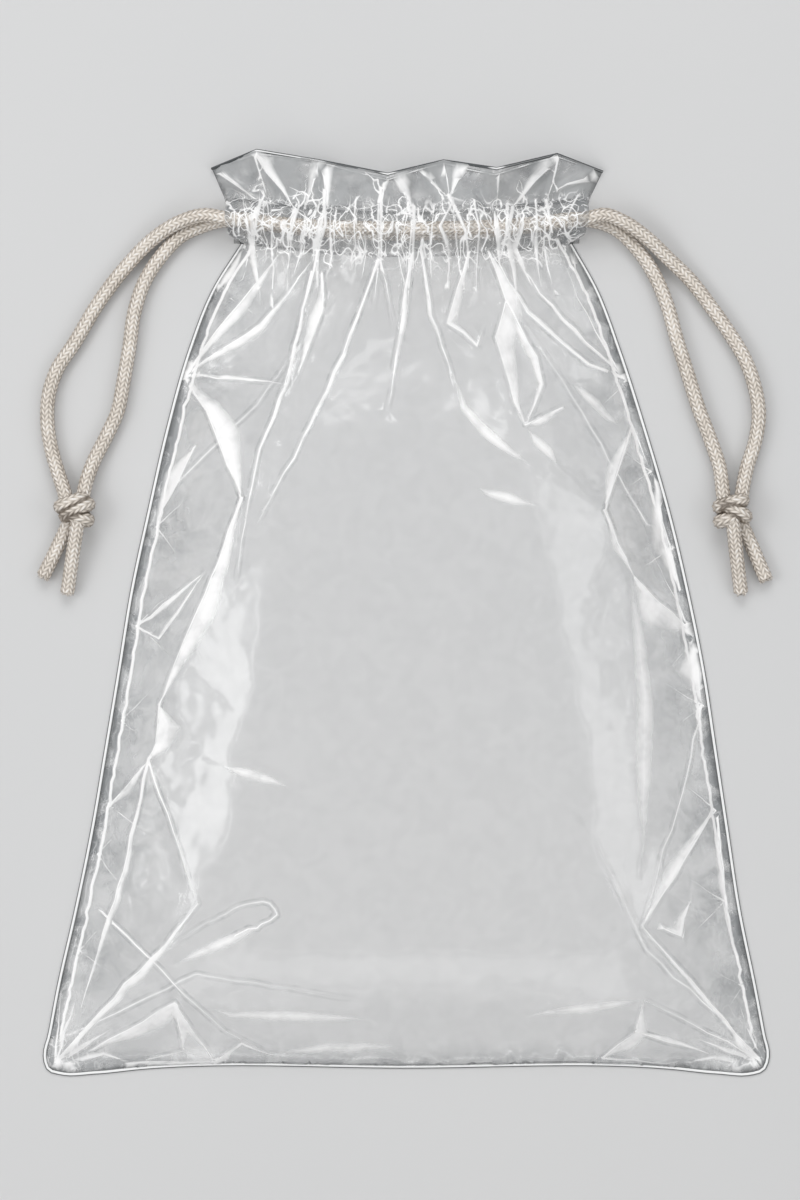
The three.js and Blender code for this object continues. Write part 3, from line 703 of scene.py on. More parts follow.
TOP_EDGE = [
    (-64.8, 148.3), (-49.5, 153), (-28.8, 150.3), (-6.2, 144.3), (12.2, 150), (29.5, 146), (49.8, 152),
    (65.2, 147.3),
]
print("width at the bottom:", round(RIGHT_SEAM[0][0] - LEFT_SEAM[0][0]), "mm")

# %% Points along the outline
OUTLINE_STEP, NECK_STEP, EDGE_STEP = 3.6, 2.0, 3.0


def even_line(points, step):
    """Points about a step apart on straight lines between the given points."""
    points = np.array(points, float)
    mark = along_line(points)
    counts = [max(1, round(gap / step)) for gap in np.diff(mark)]
    stretches = [np.linspace(a, b, count, endpoint=False) for a, b, count in zip(mark, mark[1:], counts)]
    fine = np.r_[np.concatenate(stretches), mark[-1]]
    return np.stack([np.interp(fine, mark, axis) for axis in points.T], axis=1)


def side_at(seam, neck, y):
    """Where a side of the outline is at a height along the bag."""
    x_side, y_side = np.array(seam + neck[1:]).T
    return np.interp(y, y_side, x_side)


def top_at(x):
    """Where the ruffle's edge is."""
    x_top, y_top = np.array(TOP_EDGE).T
    return np.interp(x, x_top, y_top)


def seam_distance(x, y):
    """Distance in from the nearer side of the film."""
    return np.minimum(x - side_at(LEFT_SEAM, LEFT_NECK, y), side_at(RIGHT_SEAM, RIGHT_NECK, y) - x)


outline_runs = [
    smooth_route(FOLD_LINE, OUTLINE_STEP),
    smooth_route(RIGHT_SEAM, OUTLINE_STEP),
    even_line(RIGHT_NECK, NECK_STEP),
    even_line(TOP_EDGE[::-1], EDGE_STEP),
    even_line(LEFT_NECK[::-1], NECK_STEP),
    smooth_route(LEFT_SEAM[::-1], OUTLINE_STEP),
]
outline = np.concatenate([run[:-1] for run in outline_runs])
print("outline:", len(outline), "points")

# %% [markdown]
# ## Creases
# Film bends without stretching, so a slack panel breaks into flat facets that meet in straight
# creases. They start at the darts, where the weld has pulled a tuck, and at the gathers of the
# neck, and they fade out towards the smooth middle. Each crease is a line with the height and
# the reach of its walls. Along the line the film is painted white, partly as the whitening of bent
# film and partly as a painted highlight. Beside it a painted sheen stands for a lamp mirrored in
# the wall that leans towards it, and fades away from the crease.

# %% Kinds of crease
# Height of the ridge, reach of each wall, whiteness of the line, its half width, fading to its end,
# and where along the line its sheen is widest
FOLD = (3.6, 10.0, 0.95, 0.75, 0.60, 0.55)
CREASE = (1.3, 4.5, 0.90, 0.58, 0.75, 0.40)
HAIRLINE = (0.5, 2.4, 0.75, 0.45, 0.80, 0.40)
# A streak is a soft bend, and all its white goes into the painted sheen.
STREAK = (0.5, 6.0, 0.80, 2.0, 0.0, 0.50)
BROAD_STREAK = (0.3, 6.0, 0.75, 3.4, 0.0, 0.50)
PLEAT = (1.3, 2.4, 0.90, 0.50, 0.5, 0.10)
BAND = (0.9, 2.2, 0.80, 0.9, 0.4, 0.50)
print("walls of a fold:", FOLD[0], "mm high,", FOLD[1], "mm wide")

# %% Creases of the shoulders
# The points are in millimetres. The last number is the width of the painted sheen, left of the way
# along the line where it is positive and right of it where it is negative.
LEFT_SHOULDER = [
    (CREASE, [(-63.5, 107.5), (-54.5, 121.5)], -3),
    (FOLD, [(-74, 79.5), (-55.5, 103), (-42.5, 119)], -4),
    (CREASE, [(-74, 79.5), (-48.5, 96), (-31.5, 116.5)], -3),
    (CREASE, [(-74, 79.5), (-40, 75.5)], 1.5),
    (CREASE, [(-29.5, 119.5), (-40, 76), (-50, 48.5), (-55.5, 12.5)], 1.4),
    (HAIRLINE, [(-31.5, 113), (-40, 76)], 0),
    (FOLD, [(-74, 79.5), (-66.2, 67.3), (-61.5, 55), (-54, 38)], 9),
    (FOLD, [(-54, 38), (-61.5, 17), (-76, -14.5), (-81.5, -30)], 7),
    (CREASE, [(-9.5, 116), (-21, 85.5), (-29, 67.5), (-48.5, 30)], 1.5),
    (CREASE, [(-28, 112), (-27.5, 100), (-36, 77.5)], -4),
    (HAIRLINE, [(1.5, 117.5), (-3, 90.5), (-6.5, 66.5)], 2),
    (HAIRLINE, [(-8.5, 115.5), (-4.5, 95.5)], 0),
    (CREASE, [(-70.5, 55), (-83.5, 29)], -6),
    (CREASE, [(-90, -4), (-66, 14)], -2),
    (HAIRLINE, [(-90, -4), (-82, -8.5), (-65.5, 14.5)], 1.5),
]
RIGHT_SHOULDER = [
    (HAIRLINE, [(2, 118.5), (-2, 86.5)], 0),
    (CREASE, [(4.5, 119.5), (8.5, 98), (15, 77.5)], -1.4),
    (STREAK, [(15, 77.5), (19, 68), (26, 59.5), (35, 52), (42, 48)], 0),
    (CREASE, [(20.5, 119), (13.5, 95.5), (23, 88), (24.5, 92.5)], 3),
    (CREASE, [(27, 119.5), (33, 103.5), (29.5, 91.5), (35, 69.5), (39, 62)], 8),
    (CREASE, [(33, 103.5), (42.5, 84.5), (45, 75.5), (39, 62)], -3),
    (HAIRLINE, [(39, 62), (51.5, 68.5)], -3),
    (STREAK, [(39.4, 60.7), (49.5, 48.8)], 0),
    (FOLD, [(73, 78.5), (60, 82.5), (40, 99.5), (28, 119.5)], -1.5),
    (CREASE, [(73, 78.5), (59.5, 90.5), (48, 102.5), (34.5, 119.5)], 1.5),
    (CREASE, [(73, 78.5), (65.5, 89), (57, 105), (51.5, 119.5)], 0),
    (STREAK, [(70.5, 62.5), (54, 76.5)], 0),
    (FOLD, [(75, 62.5), (65, 34)], -4.5),
    (FOLD, [(65, 34), (74.5, 13)], -2.5),
    (FOLD, [(96, -7.5), (74.5, 13)], 10),
    (CREASE, [(75, 62.5), (81.5, 47.5)], 0),
    (CREASE, [(91, 8), (82, 47)], 6.5),
    (CREASE, [(96, -7.5), (81, 20.5)], 0),
    (STREAK, [(23, 41.5), (31.6, 38.1), (42.5, 35.5)], 0),
    (BROAD_STREAK, [(73.5, 16), (78.5, -25.5), (77, -84)], 0),
]
print("shoulder creases:", len(LEFT_SHOULDER) + len(RIGHT_SHOULDER))

# %% Creases of the foot
CURLED_LOOP = [
    (-56, -104.8), (-46, -100.4), (-42.4, -97.2), (-44, -94.6), (-50, -94.2), (-62, -99), (-80, -110),
]
LOOP_STEP = 2.5
LEFT_FOOT = [
    (CREASE, [(-81.5, -30), (-83, -42), (-85, -48)], 10),
    (CREASE, [(-99, -64), (-85, -48)], -3),
    (CREASE, [(-85, -48), (-68, -94.5)], 0),
    (FOLD, [(-85, -48), (-93.5, -85), (-98.5, -100), (-108, -130.5)], 2.2),
    (FOLD, [(-117, -149.5), (-84, -113), (-68, -94.5)], -3),
    (HAIRLINE, smooth_route(CURLED_LOOP, LOOP_STEP), 0),
    (STREAK, [(-45, -100.5), (-57, -106), (-76, -114.5)], 0),
    (CREASE, [(-101, -98.5), (-84, -113), (-60, -137.5), (-43.5, -146.5)], 0),
    (CREASE, [(-104, -144.5), (-76, -127.5), (-64, -148.5)], -6),
    (CREASE, [(-92, -149.5), (-64, -148.5), (-55, -142), (-43.5, -146.5)], -3),
    (STREAK, [(-67, -129), (-58, -131.5), (-12.5, -133)], 0),
    (STREAK, [(-43.5, -146), (-25.5, -143.5), (-2, -143)], 0),
    (CREASE, [(-117, -149.5), (-110, -128.5)], 1.5),
    (CREASE, [(-117, -149.5), (-115, -126)], 0),
    (CREASE, [(-116.5, -149.5), (-104, -134)], -2.5),
    (CREASE, [(-116.5, -150), (-98, -137.5)], 2),
    (HAIRLINE, [(-115, -150.5), (-101.2, -146.5), (-91.4, -150)], 2),
    (HAIRLINE, [(-91.4, -150), (-74.2, -144.6), (-63, -149.2)], 0),
    (CREASE, [(-75.3, -128.5), (-74.2, -144.6)], 4),
    (STREAK, [(-60.5, -49.5), (-39, -56)], 0),
]
RIGHT_FOOT = [
    (CREASE, [(96.5, -9), (98.5, -30)], -9),
    (CREASE, [(98, -30.5), (91.5, -58.5), (82.5, -83.5), (77, -102)], 0),
    (FOLD, [(102, -65), (77, -102)], -5),
    (CREASE, [(103.5, -68), (107.5, -108)], -3),
    (FOLD, [(117.5, -148.5), (100.5, -128.5), (77, -102)], 1.5),
    (CREASE, [(117.5, -148.5), (100.5, -138.5), (78, -126.5)], 0),
    (CREASE, [(65, -147.5), (75.5, -137.5), (78, -126.5)], -5),
    (CREASE, [(75.5, -137.5), (101.5, -146.5)], 2),
    (HAIRLINE, [(65, -147.5), (87, -149.5), (101.5, -146.5)], 0),
    (STREAK, [(78, -126.5), (40, -132)], 0),
    (CREASE, [(117.5, -148.5), (110, -128)], 0),
    (CREASE, [(116.5, -149.5), (105, -133)], 2.5),
    (CREASE, [(116.5, -150), (97, -141)], -2),
    (HAIRLINE, [(115, -150.5), (102, -147.5), (92, -150)], -2),
    (HAIRLINE, [(106, -95.5), (100.5, -94)], 0),
    (HAIRLINE, [(84.2, -103), (89.7, -106), (93.7, -94.7)], 5),
]
print("foot creases:", len(LEFT_FOOT) + len(RIGHT_FOOT))

# %% Pleats of the ruffle
RUFFLE = [
    (PLEAT, [(-49.6, 151.5), (-37.7, 134.9)], 4),
    (PLEAT, [(-50.1, 151), (-46, 137.7)], 0),
    (PLEAT, [(-28.9, 149.6), (-34, 133.5)], -3),
    (PLEAT, [(-27.8, 149.2), (-26.1, 134)], 4),
    (PLEAT, [(-7.2, 143.6), (-9, 132.1)], 0),
    (PLEAT, [(-4.4, 144.4), (2, 132.6)], 4.5),
    (PLEAT, [(3.9, 146.4), (13.1, 137.7)], 1.5),
    (PLEAT, [(11.9, 149.2), (14, 137.9)], 0),
    (PLEAT, [(19.1, 147.8), (14.5, 137.7)], -4),
    (PLEAT, [(30.2, 145.1), (29.4, 133)], 0),
    (PLEAT, [(50, 151), (35.2, 134.9)], -5),
    (PLEAT, [(50, 150.6), (46.3, 136.8)], 0),
    (PLEAT, [(63.8, 146.5), (48.6, 140)], 1.5),
    (PLEAT, [(-62.1, 146.5), (-50.1, 137.7)], 1.5),
    (BAND, [(-48.3, 137), (-50.2, 125.5)], 0),
    (BAND, [(-36.2, 133.3), (-39.5, 121)], 0),
    (BAND, [(-27.2, 139.7), (-26.8, 128), (-30.5, 113.5)], 0),
    (BAND, [(-8.5, 139.7), (-8.5, 113.5)], 0),
    (BAND, [(2.2, 134), (2.2, 113.5)], 0),
    (BAND, [(13.8, 138), (19.5, 126), (20.2, 114)], 0),
    (BAND, [(35, 134.5), (31, 118)], 0),
    (BAND, [(46.3, 137), (48, 126)], 0),
]
print("pleats and bands:", len(RUFFLE))

# %% Fans of folds at the darts
LEFT_DARTS = [
    (-63.5, 108), (-74, 79.5), (-83.5, 29), (-90, -4), (-95, -35.5), (-99, -63.5), (-103, -80), (-109, -112),
]
RIGHT_DARTS = [
    (73, 78), (81.5, 47.5), (89, 22), (96, -8), (99, -30.5), (103, -65.5), (106, -95.5), (112, -124),
]
FAN_RIDGE = (1.2, 7.0, 0.6, 0.45, 0.9, 0.5)
FAN_DIP = (-1.0, 7.0, 0.2, 0.45, 0.9, 0.5)
FAN_LINES = 3
FAN_SPREAD, FAN_REACH = 120, (9, 24)
chance = np.random.default_rng(23)


def fan_lines(darts, side):
    """Ridges and dips that spread inwards from each dart in the weld."""
    lines = []
    for x, y in darts:
        for number in range(FAN_LINES):
            turn = number + chance.uniform(0.2, 0.8)
            angle = math.radians(-FAN_SPREAD / 2 + FAN_SPREAD * turn / FAN_LINES)
            length = chance.uniform(*FAN_REACH)
            end = (x - side * length * math.cos(angle), y + length * math.sin(angle))
            lines.append((FAN_DIP if number % 2 else FAN_RIDGE, [(x, y), end], 0))
    return lines


fans = fan_lines(LEFT_DARTS, -1) + fan_lines(RIGHT_DARTS, 1)
print("fan lines:", len(fans))

# %% Gathers of the channel
CHANNEL_HALF = 7.5
GATHER = (2.0, 2.8, 0.75, 0.50, 0.8, 0.5)
TUCK = (-1.4, 2.8, 0.25, 0.45, 0.6, 0.5)
GATHER_COUNT, GATHER_HEAD, GATHER_FOOT, GATHER_FAN = 22, (6, 10), (12, 30), 1.04
HEAD_SWAY, CHANNEL_SWAY, FOOT_SWAY, GATHER_SHEEN = 1.5, 0.8, 2.0, 1.5
chance = np.random.default_rng(5)


def gather_lines():
    """Small pleats that run from the ruffle through the channel into the shoulders."""
    lines = []
    for number in range(GATHER_COUNT):
        x = -CHANNEL_REACH + 2 * CHANNEL_REACH * (number + chance.uniform(0.2, 0.8)) / GATHER_COUNT
        middle = channel_middle(x)
        stops = [
            (x + chance.normal(0, HEAD_SWAY), middle + chance.uniform(*GATHER_HEAD)),
            (x + chance.normal(0, CHANNEL_SWAY), middle),
            (x + chance.normal(0, CHANNEL_SWAY), middle - CHANNEL_HALF),
            (x * GATHER_FAN + chance.normal(0, FOOT_SWAY), middle - chance.uniform(*GATHER_FOOT)),
        ]
        lines.append((GATHER if number % 2 else TUCK, stops, chance.normal(0, GATHER_SHEEN)))
    return lines


gathers = gather_lines()
print("gathers:", len(gathers))

# %% Crumples over the cord
SCRIBBLE = (0.7, 1.5, 0.85, 0.50, 0.6, 0.5)
SCRIBBLE_COUNT, SCRIBBLE_BENDS, SCRIBBLE_REACH, SCRIBBLE_STEP = 100, 3, (1.2, 3.2), 1.2
SCRIBBLE_DROP, SCRIBBLE_SPREAD, SCRIBBLE_LEAN, SCRIBBLE_BEND = -0.5, 6.0, 0.9, 0.8
BURST_SPOTS = [
    (-46.3, 136.5), (-27, 133), (-8.6, 117), (2.2, 132.3), (14, 137.5), (31.5, 119.5), (46.5, 135),
]
BURST_LINES, BURST_REACH = 6, (2.5, 7.5)
SPARK = (0.4, 1.5, 0.60, 0.42, 0.8, 0.5)


def scribble_lines():
    """Short bent crumples of the film where it is bunched over the cord."""
    lines = []
    for _ in range(SCRIBBLE_COUNT):
        x = chance.uniform(-CHANNEL_REACH - 1, CHANNEL_REACH + 1)
        start = np.array((x, channel_middle(x) + chance.normal(SCRIBBLE_DROP, SCRIBBLE_SPREAD)))
        angle = chance.normal(math.pi / 2, SCRIBBLE_LEAN)
        stops = [start]
        for _ in range(SCRIBBLE_BENDS):
            length = chance.uniform(*SCRIBBLE_REACH)
            stops.append(stops[-1] + length * np.array((math.cos(angle), math.sin(angle))))
            angle += chance.normal(0, SCRIBBLE_BEND)
        lines.append((SCRIBBLE, smooth_route(stops, SCRIBBLE_STEP), 0))
    return lines


def burst_lines():
    """Short creases that spread from the spots where a pleat is pinched by the cord."""
    lines = []
    for x, y in BURST_SPOTS:
        for number in range(BURST_LINES):
            angle = 2 * math.pi * (number + chance.uniform(0.1, 0.9)) / BURST_LINES
            length = chance.uniform(*BURST_REACH)
            lines.append((SPARK, [(x, y), (x + length * math.cos(angle), y + length * math.sin(angle))], 0))
    return lines


crumples = scribble_lines() + burst_lines()
print("crumples:", len(crumples))

# %% Welds along the sides
WELD = 4.2
WELD_LINE = (0.3, 1.5, 0.85, 0.75, 0.0, 0.5)
WELD_WOBBLE, WELD_LINE_STEP = 0.2, 2.2
CREASE_STEP, WAVER = 6.0, 0.25


def weld_line(seam, side):
    """The inner edge of a side weld, which wanders a little."""
    line = smooth_route(seam[2:], WELD_LINE_STEP)
    line[:, 0] -= side * (WELD + chance.normal(0, WELD_WOBBLE, len(line)))
    return line


def settle(creases):
    """Each crease as its kind, a line of points that wavers as film does, and its sheen."""
    settled = []
    for kind, stops, sheen in creases:
        line = even_line(stops, CREASE_STEP)
        line[1:-1] += chance.normal(0, WAVER, (len(line) - 2, 2))
        settled.append((kind, line, sheen))
    return settled


drawn_creases = LEFT_SHOULDER + RIGHT_SHOULDER + LEFT_FOOT + RIGHT_FOOT + RUFFLE + fans + gathers + crumples
front_creases = settle(drawn_creases)
front_creases += [(WELD_LINE, weld_line(LEFT_SEAM, -1), 0), (WELD_LINE, weld_line(RIGHT_SEAM, 1), 0)]
print("front creases:", len(front_creases))

# %% Distance from a line
def near_box(spots, line, margin):
    """The numbers of the spots in the box round a line."""
    inside = (spots > line.min(axis=0) - margin) & (spots < line.max(axis=0) + margin)
    return np.flatnonzero(inside.all(axis=1))


def line_distance(spots, line):
    """Distance of each spot from a line, how far along it is, from 0 to 1, and 1 on its left or -1."""
    mark = along_line(line)
    nearest, share, side = np.full(len(spots), np.inf), np.zeros(len(spots)), np.ones(len(spots))
    for start, end, at, upto in zip(line, line[1:], mark, mark[1:]):
        way, offset = end - start, spots - start
        along = np.clip((offset @ way) / (way @ way), 0, 1)
        away = np.linalg.norm(offset - along[:, None] * way, axis=1)
        closer = away < nearest
        nearest[closer] = away[closer]
        share[closer] = ((at + along * (upto - at)) / mark[-1])[closer]
        side[closer] = np.sign(way[0] * offset[:, 1] - way[1] * offset[:, 0])[closer]
    return nearest, share, side


print("1 mm left of a line:", line_distance(np.array([(1.0, 1.0)]), np.array([(0.0, 0.0), (2.0, 0.0)])))

# %% Height, whiteness and shade of the creases
# The sheen is a painted highlight: the lamp mirrored in the wall beside a crease.
SHEEN_WHITE, SHEEN_EDGE, LEAST_SHEEN = 0.90, 1.6, 0.001
SOFT_WIDTH = 1.5
LEAST_STREAK, LEAST_CORE = 0.12, 0.25
# Painted shade: a thin grey line on both sides of each white line.
RIM_SHADE, RIM_OUT, RIM_WIDTH = 0.22, 1.0, 0.6


def crease_strength(width, fade, share):
    """Strength along a line: a wide streak swells and thins out again, a crease fades to its end."""
    return np.sin(np.pi * share) if width > SOFT_WIDTH else 1 - fade * share


def core_width(width, strength):
    """Half the width of a crease's white core."""
    return width * np.maximum(strength, LEAST_STREAK if width > SOFT_WIDTH else LEAST_CORE)


def sheen_width(sheen, widest, share):
    """Width of a crease's sheen, a wedge that is widest somewhere along the line."""
    return sheen * np.minimum(share / widest, (1 - share) / (1 - widest))


def crease_marks(spots, creases):
    """Height in millimetres, whiteness (partly painted highlight), painted grey shade and painted sheen that the
    creases give each spot.
    """
    ridge, dip, white, shade, sheens = np.zeros((5, len(spots)))
    for (rise, reach, whiteness, width, fade, widest), line, sheen in creases:
        close = near_box(spots, line, max(reach, width, abs(sheen)))
        away, share, side = line_distance(spots[close], line)
        strength, soft = crease_strength(width, fade, share), width > SOFT_WIDTH
        wall = rise * strength * np.clip(1 - away / reach, 0, 1)
        ridge[close] = np.maximum(ridge[close], wall)
        dip[close] = np.minimum(dip[close], wall)
        # Painted white along the line, partly the whitening of bent film and partly a painted highlight; the glow
        # beside it is painted sheen.
        pale = whiteness * strength * np.clip(1 - away / core_width(width, strength), 0, 1)
        span = np.abs(sheen_width(sheen, widest, share)) + LEAST_SHEEN
        glow = SHEEN_WHITE * np.clip(SHEEN_EDGE * (1 - away / span), 0, 1) * (side * sheen > 0)
        sheens[close] = np.maximum(sheens[close], np.maximum(glow, pale * soft))
        # Painted shade beside a sharp white line goes into the grey of the film.
        if not soft:
            white[close] = np.maximum(white[close], pale)
            rim = RIM_SHADE * whiteness * strength * np.clip(1 - np.abs(away - RIM_OUT) / RIM_WIDTH, 0, 1)
            shade[close] = np.maximum(shade[close], rim)
    return ridge + dip, white, shade, sheens


print("height on a fold:", crease_marks(np.array([(-74.0, 79.5)]), front_creases)[0].round(2), "mm")

# %% [markdown]
# ## A mesh that follows the creases
# A plain grid would cut every crease into steps. A constrained Delaunay triangulation takes the
# creases, both edges of their white cores and their sheen, the foot of their walls, the welds and
# the outline as edges and fills the rest with large triangles. So each facet of the film is made
# of whole triangles, and a thin line is drawn by a few long ones. The large triangles are then
# halved, and a light smoothing rounds the ridges as thin film rounds them.

# %% Lines that the mesh follows
WIDE_REACH, SHADED_REACH = 6.0, 2.3
SHEEN_PARTS = (0.4, 1)
TINY = 1e-9


def edge_lines(creases):
    """What each crease asks of the mesh: its line, the edges of its core, shade and sheen, and its feet."""
    for (_, reach, _, width, fade, widest), line, sheen in creases:
        way = np.gradient(line, axis=0)
        way /= np.linalg.norm(way, axis=1)[:, None] + TINY
        across = np.stack((-way[:, 1], way[:, 0]), axis=1)
        share = along_line(line) / along_line(line)[-1]
        core = core_width(width, crease_strength(width, fade, share))
        offsets = [0 * share, core, -core]
        if reach > SHADED_REACH and width < SOFT_WIDTH:
            offsets += [side * gap + 0 * share for side in (1, -1) for gap in (RIM_OUT, RIM_OUT + RIM_WIDTH)]
        if sheen:
            offsets += [part * sheen_width(sheen, widest, share) for part in SHEEN_PARTS]
        if reach < WIDE_REACH:
            offsets += [reach + 0 * share, -reach + 0 * share]
        for offset in offsets:
            yield line + across * offset[:, None]


front_lines = list(edge_lines(front_creases))
print("lines in the mesh:", len(front_lines))

# %% Triangles between the lines
EDGE_MARGIN = 1.2
MERGE = 0.22
ROW_PITCH, JITTER = 0.87, 0.3
FILM_MARKS = ("crease", "veil", "bunch", "sheen")


def inside_film(spots, margin):
    """Which spots lie in the outline, by a margin."""
    x, y = spots.T
    return (seam_distance(x, y) > margin) & (y > BOTTOM + margin) & (y < top_at(x) - margin)


def fill_spots(step, kept):
    """Spots of a jittered grid where the kept rule holds."""
    low, high = outline.min(axis=0), outline.max(axis=0)
    x, y = np.meshgrid(np.arange(low[0], high[0], step), np.arange(low[1], high[1], step * ROW_PITCH))
    x[::2] += step / 2
    spots = np.stack((x.ravel(), y.ravel()), axis=1) + chance.uniform(-JITTER, JITTER, (x.size, 2)) * step
    spots = spots[inside_film(spots, EDGE_MARGIN)]
    return spots[kept(*spots.T)]


def new_panel():
    """An empty mesh that keeps at each vertex the film's whiteness, its grey with painted shade, its bunching and its
    painted sheen.
    """
    bm = bmesh.new()
    for mark in FILM_MARKS:
        bm.verts.layers.float.new(mark)
    return bm


def film_panel(lines, fills):
    """A flat panel of triangles in the outline, with the given lines as edges."""
    spots, edges = list(outline), [(i, (i + 1) % len(outline)) for i in range(len(outline))]
    for line in lines:
        kept = inside_film(line, EDGE_MARGIN)
        for number, spot in enumerate(line):
            if kept[number]:
                if number and kept[number - 1]:
                    edges.append((len(spots) - 1, len(spots)))
                spots.append(spot)
    for fill in fills:
        spots.extend(fill)
    flat = delaunay_2d_cdt([Vector(spot) for spot in spots], edges, [], 1, MERGE)
    bm = new_panel()
    corners = [bm.verts.new((spot.x, spot.y, 0)) for spot in flat[0]]
    for face in flat[2]:
        bm.faces.new([corners[number] for number in face])
    loose = [vertex for vertex in bm.verts if not vertex.link_faces]
    bmesh.ops.delete(bm, geom=loose, context="VERTS")
    return bm


print("kept at each vertex:", ", ".join(FILM_MARKS))

# %% Front panel, still flat
NECK_FOOT = 117
SMOOTH_FOOT, SMOOTH_HALF = -108, 58
SLOPE_START, SLOPE_END = 8, 40
CHANNEL_WELD_REACH, CHANNEL_WELD_STOPS = 58, 40


def is_middle(x, y):
    """Where the film lies smooth between the slopes."""
    return (y < NECK_FOOT) & (seam_distance(x, y) > SLOPE_END) & (y >= SMOOTH_FOOT)


def is_foot(x, y):
    """Where the film curves down to the bottom fold."""
    return (np.abs(x) < SMOOTH_HALF) & (y < SMOOTH_FOOT)


def is_facet(x, y):
    """Where the film beside the welds lies in wide facets."""
    inward = seam_distance(x, y)
    return (y < NECK_FOOT) & (inward <= SLOPE_END) & (inward > SLOPE_START) & ~is_foot(x, y)


def is_neck(x, y):
    """Where the film is gathered, up to the top of the channel."""
    return (y >= NECK_FOOT) & (y < channel_middle(x) + CHANNEL_HALF)


# The gap between the spots in millimetres, and where it holds
FRONT_FILLS = ((10, is_middle), (20, is_facet), (7, is_foot), (3.4, is_neck))

weld_x = np.linspace(-CHANNEL_WELD_REACH, CHANNEL_WELD_REACH, CHANNEL_WELD_STOPS)
channel_welds = [
    np.stack((weld_x, channel_middle(weld_x) + offset), axis=1) for offset in (-CHANNEL_HALF, CHANNEL_HALF)
]
front = film_panel(front_lines + channel_welds, [fill_spots(gap, kept) for gap, kept in FRONT_FILLS])
print("front panel:", len(front.faces), "facets")

# %% [markdown]
# ## The shape of the lying bag
# Empty, the bag still holds some air: the front panel swells up from the welds to a broad flat
# belly. At the neck it is drawn up over the two cords, and the channels stand as a pair of tubes
# with the mouth between them. Above them the ruffle's edge rises and falls from fold to fold.
# These heights are formulas of the place, so the smooth form and the creases add up.

# %% Easing
def ease_out(distance, width):
    """Rises from 0 at an edge to 1 at a width from it, steep first and flat at the end."""
    return 1 - (1 - np.clip(distance / width, 0, 1)) ** 2


def ease_both(value, low, high):
    """Rises from 0 at low to 1 at high, flat at both ends."""
    share = np.clip((value - low) / (high - low), 0, 1)
    return share * share * (3 - 2 * share)


def fading(distance, reach):
    """Falls from 1 at an edge towards 0 far from it."""
    return np.exp(-np.maximum(distance, 0) / reach)


print("halfway:", ease_out(1, 2), ease_both(1, 0, 2), round(fading(1, 2), 2))

# %% Heights of front and back
BELLY, CROWN = 26, 4
SHOULDER_WIDTH = 48
MOUTH_GAP = 12.0
TUNNEL = 6.2
NECK_LEVEL, NECK_LIFT = 4.5, 15.5
CHANNEL_TOP = 13.0
NECK_BLEND = 0.72
FILM_LEVEL = 0.3
WELD_STEP, WELD_STEP_WIDTH = 0.35, 3
NECK_SLOPE = 9
LEAST_RUFFLE = 1
FRONT_RUFFLE = [
    (-64.8, 1), (-49.5, 14), (-28.8, 7), (-6.2, 22), (12.2, 10), (29.5, 23), (49.8, 11), (65.2, 1),
]
BACK_RUFFLE = [(-64.8, 1), (-40, 5), (-18, 1), (2, 6), (20, 1), (40, 6), (65.2, 1)]


def ruffle_level(edge, x):
    """Height of the ruffle's top edge."""
    x_edge, z_edge = np.array(edge).T
    return np.interp(x, x_edge, z_edge)


def channel_lens(x, y):
    """How far a channel is open round its cord: 1 in its middle and 0 at its welds."""
    return 1 - np.clip((y - channel_middle(x)) / CHANNEL_HALF, -1, 1) ** 2


def ruffle_share(x, y):
    """How far up the ruffle a place is: 0 at the channel and 1 at the top edge."""
    high = channel_middle(x) + CHANNEL_HALF
    return np.clip((y - high) / np.maximum(top_at(x) - high, LEAST_RUFFLE), 0, 1)


def front_height(x, y):
    """Height of the front panel without its creases."""
    arch, middle = channel_arch(x), channel_middle(x)
    low, high = middle - CHANNEL_HALF, middle + CHANNEL_HALF
    left, right = side_at(LEFT_SEAM, LEFT_NECK, y), side_at(RIGHT_SEAM, RIGHT_NECK, y)
    inward, across = seam_distance(x, y), (2 * x - left - right) / (right - left)
    tall = (y - BOTTOM) / (low - BOTTOM)
    belly = BELLY * ease_out(inward - WELD, SHOULDER_WIDTH) * ease_out(y - BOTTOM, SHOULDER_WIDTH)
    belly += CROWN * np.clip(1 - across ** 2, 0, 1) * np.sin(np.pi * np.clip(tall, 0, 1))
    drawn = ease_both(tall, NECK_BLEND, 1)
    neck = (NECK_LEVEL + NECK_LIFT * arch) * ease_out(inward, NECK_SLOPE)
    body = belly * (1 - drawn) + neck * drawn
    lens = channel_lens(x, y)
    channel = neck * (1 - lens) + (CHANNEL_TOP + MOUTH_GAP * arch) * lens
    share = ruffle_share(x, y)
    ruffle = neck * (1 - share) + ruffle_level(FRONT_RUFFLE, x) * share
    step = WELD_STEP * np.clip(np.minimum(inward, y - BOTTOM) / WELD_STEP_WIDTH, 0, 1)
    return FILM_LEVEL + step + np.where(y < low, body, np.where(y < high, channel, ruffle))


def back_height(x, y):
    """Height of the back panel, which lies on the table up to the ruffle."""
    return FILM_LEVEL + ruffle_level(BACK_RUFFLE, x) * ruffle_share(x, y)


print("belly:", front_height(np.zeros(1), np.zeros(1)).round(1), "mm, channel:",
      front_height(np.zeros(1), channel_middle(np.zeros(1))).round(1), "mm")

# %% [markdown]
# ## Grey, milk-white and bunched film, with painted light and shade
# Clear film isn't equally clear all over. A weld turns it grey, and painted grey shade lies beside
# the side welds, at the darts, in the ruffle and along the bottom fold; a light grey lies under the
# gathers. It is painted milk-white beside the welds, above the fold, under the gathers and in the
# ruffle. Where it is bunched, over the cord, at the corners and by the darts, it carries painted
# curls of highlight and shade. Formulas give each place its share of these, and the mesh keeps the
# shares as attributes at its vertices. That needs no picture and no unwrapping, and the material
# only has to read them.

